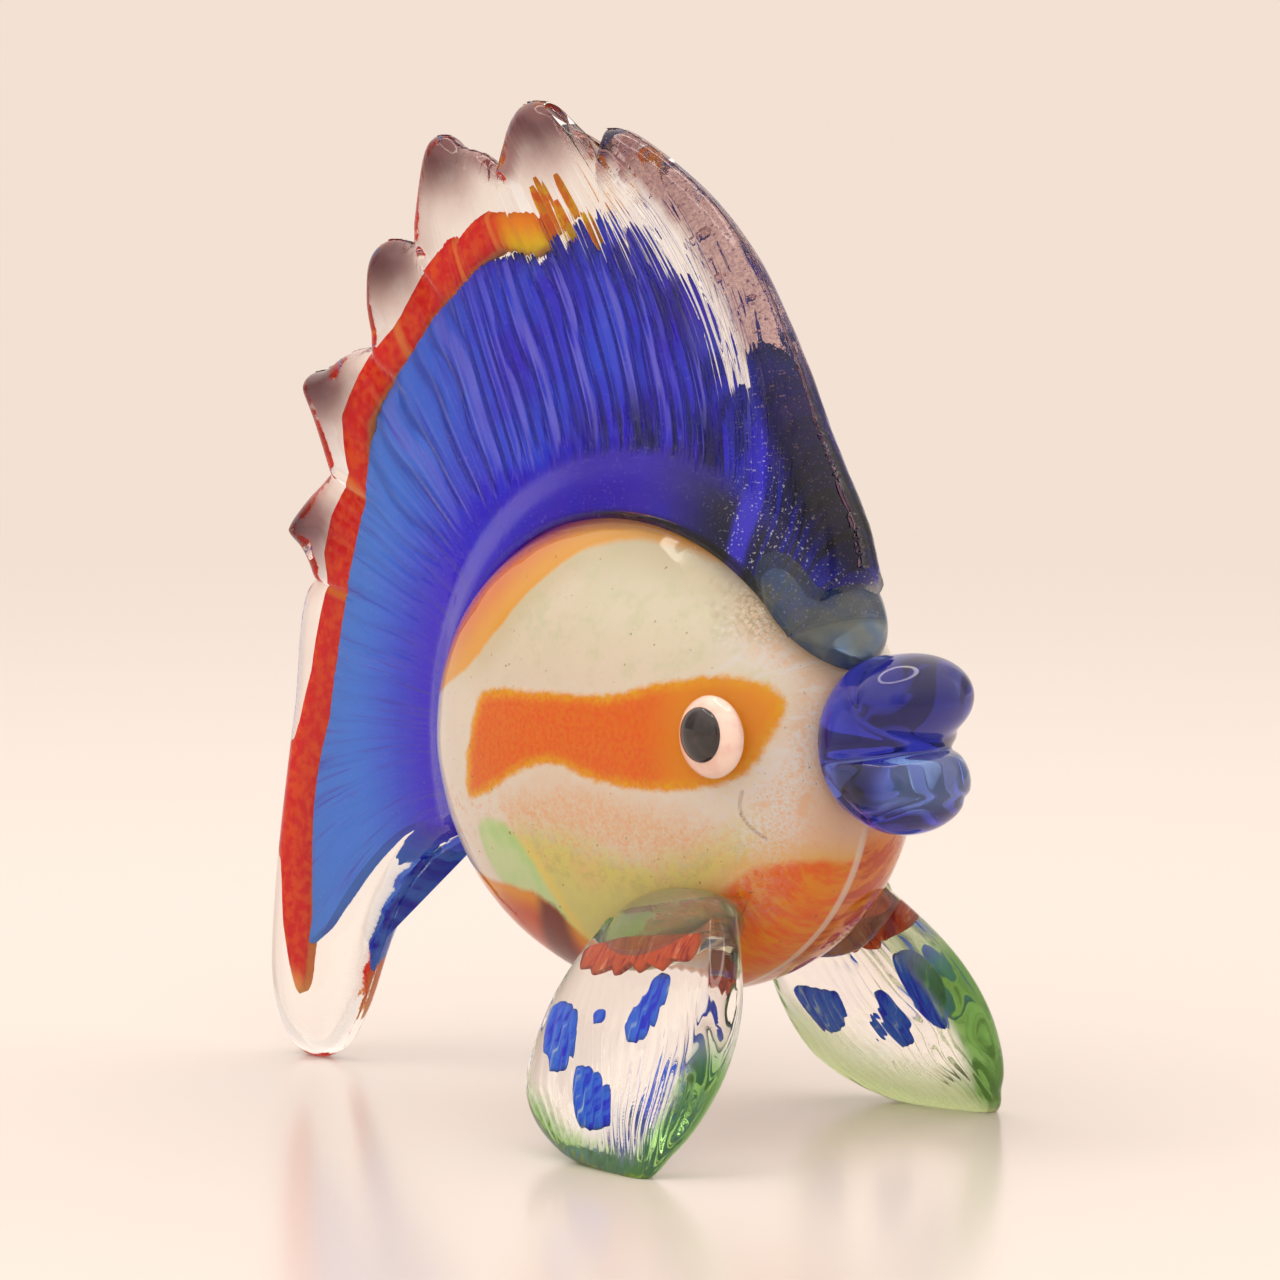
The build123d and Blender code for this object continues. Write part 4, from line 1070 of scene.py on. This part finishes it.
def leaf_material(side):
    """Clear glass, green along the rim towards the tip, with dark flecks in the green."""
    g = Graph("fin_glass_" + side)
    edge, l, c = g.attr("edge"), g.attr("l"), g.attr("c")
    by_edge, by_side, by_length = GREEN_SIDE[side]
    rush = g.scaled(g.noise(1.0, 3.0, 0.7, vector=g.stretched(0.7, 1.6, 2.4)), 2.4, -1.2)
    ragged = g.plus(edge, rush)
    towards_tip = g.ramp(g.plus(l, g.math("ABSOLUTE", g.times(c, 0.25))), 12.0, 16.0)
    side_rim = g.times(g.ramp(edge, *by_edge), g.ramp(c, *by_side), g.ramp(l, *by_length))
    green = g.math("MAXIMUM", g.times(g.ramp(ragged, 2.8, 0.7), towards_tip), side_rim)
    pale = g.ramp(g.plus(l, g.times(c, -0.8)), 12.0, 18.0, 0.0, PALE_BLADE[side])
    pale = g.times(pale, g.ramp(ragged, 6.5, 2.0))
    green = g.math("MAXIMUM", green, pale)
    fresh = g.mix(g.ramp(edge, 3.0, 0.6), srgb(196, 222, 146), srgb(118, 176, 78))
    fresh = g.mix(g.ramp(c, -3.0, 4.0), fresh, srgb(88, 156, 54))
    fleck = g.ramp(g.noise(1.0, 3.0, 0.7, vector=g.stretched(0.5, 1.2, 1.2)), 0.6, 0.68)
    fresh = g.mix(g.times(fleck, 0.7), fresh, srgb(58, 104, 42))
    fresh = g.mix(g.times(pale, g.ramp(c, 2.0, 0.0)), fresh, srgb(222, 238, 178))
    hue = g.mix(green, srgb(254, 250, 246), fresh)
    clear = g.ramp(green, 0.1, 0.9, 1.0, 0.7)
    return g.set(Base_Color=hue, Roughness=0.03, IOR=1.4, Transmission_Weight=clear)


def streaky_material(name, stretch, detail, rough, base, mid, top):
    """Coloured glass in three streaky tints, each laid where the noise lies in a range."""
    g = Graph(name)
    lines = g.noise(1.0, detail, rough, vector=g.stretched(*stretch))
    (low, high, mid_hue), (top_low, top_high, most, top_hue) = mid, top
    g.hue = g.mix(g.ramp(lines, low, high), base, mid_hue)
    g.lay(g.ramp(lines, top_low, top_high, 0.0, most), top_hue)
    return g.matte()


def fin_pad(side):
    def place(p):
        spot = ROOT + np.outer(p[:, 0], across) + np.outer(p[:, 2], outward)
        return outside_body((spot - np.outer(p[:, 1] + PAD_BACK, along)) * MIRROR[side])

    pad = ellipsoid("fin_pad_" + side, PAD_HALF, 0.2, 40, place)
    g = Graph("fin_pad_" + side)
    g.hue = g.mix(g.ramp(g.noise(2.0, 3.0), 0.4, 0.65), srgb(228, 236, 200), srgb(244, 236, 218))
    g.set(Base_Color=g.hue, Roughness=0.04, IOR=1.22, Transmission_Weight=0.9)
    g.bump(g.noise(0.9, 3.0), 0.3)
    finish_piece(pad, g.data, "clear_glass", "fin_pad_" + side)


def fin(side):
    nodes = ["fin_glass_" + side, "fin_green_edge_" + side]
    finish_piece(leaf(side), leaf_material(side), "clear_glass", *nodes)
    blue = streaky_material("fin_blue_" + side, (0.5, 4.0, 4.0), 3.0, 0.6, deep(40, 54, 190),
                            (0.35, 0.5, deep(56, 82, 214)), (0.55, 0.7, 1.0, deep(128, 158, 226)))
    for k, (spot, half) in enumerate(zip(SPOTS[side], SPOT_HALVES)):
        piece = flake(f"fin_spot_{side}_{k}", spot, side, half, SPOT_LIFT)
        finish_piece(piece, blue, "cobalt_glass", *(["fin_spots_" + side] if k == 0 else []))
    red = streaky_material("fin_band_" + side, (0.45, 2.5, 2.5), 4.0, 0.7, deep(118, 42, 26),
                           (0.36, 0.5, deep(172, 68, 42)), (0.56, 0.7, 0.8, deep(222, 132, 98)))
    piece = flake("fin_band_" + side, BAND, side, BAND_HALF, BAND_LIFT)
    finish_piece(piece, red, "red_glass", "fin_root_band_" + side)
    fin_pad(side)


for side in ("right", "left"):
    fin(side)

# Bubbles in the front of the crest: x, z and radius of those that show in the photograph, then tiny ones
BUBBLES = [(-0.5, 46.0, 0.45), (4.0, 40.6, 0.5), (2.6, 40.0, 0.4), (6.1, 37.4, 0.42), (6.6, 36.2, 0.24),
           (9.0, 35.8, 0.3), (7.2, 35.0, 0.14), (7.7, 34.2, 0.12), (8.0, 33.4, 0.1), (-2.4, 46.6, 0.22),
           (1.6, 42.8, 0.18), (10.4, 31.6, 0.2), (12.0, 29.0, 0.16), (-4.6, 46.8, 0.2), (5.2, 38.8, 0.16)]
TINY_BUBBLES, BUBBLE_DEPTH = 130, 0.9


def bubbles():
    rng = np.random.RandomState(7)
    ball, quads = cube_sphere(9)
    places = list(BUBBLES)
    for _ in range(TINY_BUBBLES):
        angle = rng.uniform(52, 98)
        rim = float(np.interp(angle, outer_angle, outer_radius))
        x, z = from_polar(rim - BUBBLE_DEPTH - abs(rng.normal()) * 1.6, angle)
        places.append((x, z, rng.uniform(0.05, 0.12)))
    verts, faces = [], []
    for x, z, radius in places:
        room = max(float(web_half(np.hypot(x, z))) - radius - BUBBLE_DEPTH, 0.1)
        faces += (np.array(quads)[:, ::-1] + len(verts) * len(ball)).tolist()
        y = rng.uniform(-room, -0.2) if rng.rand() < 0.6 else rng.uniform(0.2, room)
        verts.append(ball * radius + [x, y, z])
    mesh = bpy.data.meshes.new("crest_bubbles")
    mesh.from_pydata(to_row(np.concatenate(verts)).tolist(), [], faces)
    mesh.polygons.foreach_set("use_smooth", [True] * len(mesh.polygons))
    g = Graph("bubble_glass")
    g.set(Base_Color=srgb(250, 240, 236), Roughness=0.0, IOR=1.48, Transmission_Weight=1.0)
    finish_piece(link("crest_bubbles", mesh), g.data, "clear_glass")


bubbles()

# Studio: metres from here on. The floor turns into the backdrop's colour with distance
CREAM = srgb(243, 225, 211)
FLOOR_HALF, FLOOR_FADE = 6, (0.07, 0.5)


def floor():
    mesh = bpy.data.meshes.new("floor")
    corners = [(x * FLOOR_HALF, y * FLOOR_HALF, 0) for x, y in ((-1, -1), (1, -1), (1, 1), (-1, 1))]
    mesh.from_pydata(corners, [], [(0, 1, 2, 3)])
    g = Graph("pale_floor")
    g.set(Base_Color=srgb(218, 210, 204), Roughness=0.2, IOR=1.3)
    backdrop = g.node("ShaderNodeEmission", CREAM, 1.0)
    away = g.node("ShaderNodeVectorMath", g.coords(), operation="LENGTH", out="Value")
    blend = g.node("ShaderNodeMixShader", g.ramp(away, *FLOOR_FADE), g.bsdf.outputs[0], backdrop)
    g.put(g.out.inputs["Surface"], blend)
    mesh.materials.append(g.data)
    link("floor", mesh)


# Reflections also see a ring lamp overhead, by the cosine of its angle, and three dark panels
RING_WAY, RING_AT, RING_HALF, RING_SOFT, RING_LEVEL = (-0.04, 0.08, 1.0), 0.925, 0.01, 0.02, 6.0
PANELS, PANEL_TURN, PANEL_DARK = 3.0, 0.5, 0.55


def world():
    g = Graph("studio", world=True)
    bpy.context.scene.world = g.data
    way = g.node("ShaderNodeTexCoord", out="Generated")
    x, y, z = (g.node("ShaderNodeSeparateXYZ", way, out=axis) for axis in "XYZ")
    camera, reflection, glossy = (g.node("ShaderNodeLightPath", out=f"Is {kind} Ray")
                                  for kind in ("Camera", "Reflection", "Glossy"))
    level = g.ramp(z, 0.05, 0.75, 1.0, 1.6)
    azimuth = g.plus(g.math("ARCTAN2", y, x), PANEL_TURN)
    panels = g.ramp(g.math("COSINE", g.times(azimuth, PANELS)), 0.5, 0.95, 0.0, PANEL_DARK)
    panels = g.times(panels, g.ramp(z, 0.75, 0.4))
    overhead = g.node("ShaderNodeVectorMath", way, RING_WAY, operation="DOT_PRODUCT", out="Value")
    off_ring = g.math("ABSOLUTE", g.math("SUBTRACT", overhead, RING_AT))
    ring = g.ramp(off_ring, RING_SOFT, RING_HALF, 0.0, RING_LEVEL)
    seen = g.plus(g.math("SUBTRACT", level, panels), ring)
    mirrored = g.times(reflection, glossy)
    plain = g.times(level, g.math("SUBTRACT", 1.0, mirrored))
    light = g.node("ShaderNodeBackground", srgb(248, 236, 226), g.plus(g.times(seen, mirrored), plain))
    backdrop = g.node("ShaderNodeBackground", CREAM, 1.0)
    g.put(g.out.inputs[0], g.node("ShaderNodeMixShader", camera, light, backdrop))


KEY_AT, KEY_AIM = Vector((-0.25, -0.45, 0.85)), Vector((0, 0, 0.04))
KEY_SIZE, KEY_WATTS, KEY_COLOUR = 0.5, 1.6, (1.0, 0.97, 0.93)


def key_lamp():
    data = bpy.data.lights.new("key", "AREA")
    data.shape, data.size, data.energy, data.color = "DISK", KEY_SIZE, KEY_WATTS, KEY_COLOUR
    lamp = link("key", data)
    lamp.location = KEY_AT
    lamp.rotation_mode = "QUATERNION"
    lamp.rotation_quaternion = (KEY_AIM - KEY_AT).to_track_quat("-Z", "Y")
    lamp.visible_glossy = False


# Camera at the photograph's angle: round from the fish's right side, and up
AZIMUTH, ELEVATION, DISTANCE = math.radians(44.5), math.radians(6.2), 0.520
SENSOR, LENS = 36.0, 185.1
SHIFT_LEFT, SHIFT_UP = 0.00257, 0.00853


def camera():
    level = math.cos(ELEVATION)
    back = Vector((math.sin(AZIMUTH) * level, -math.cos(AZIMUTH) * level, math.sin(ELEVATION)))
    right = Vector((math.cos(AZIMUTH), math.sin(AZIMUTH), 0))
    up = back.cross(right)
    data = bpy.data.cameras.new("camera")
    data.sensor_width, data.lens = SENSOR, LENS
    data.clip_start, data.clip_end = 0.01, 50
    cam = link("camera", data)
    middle = Vector((BODY_X, 0, STANCE)) * MM
    cam.location = middle + back * DISTANCE - right * SHIFT_LEFT + up * SHIFT_UP
    cam.rotation_mode = "QUATERNION"
    cam.rotation_quaternion = Matrix((right, up, back)).transposed().to_quaternion()
    bpy.context.scene.camera = cam


floor()
world()
key_lamp()
camera()
bpy.context.scene.view_settings.view_transform = "Standard"
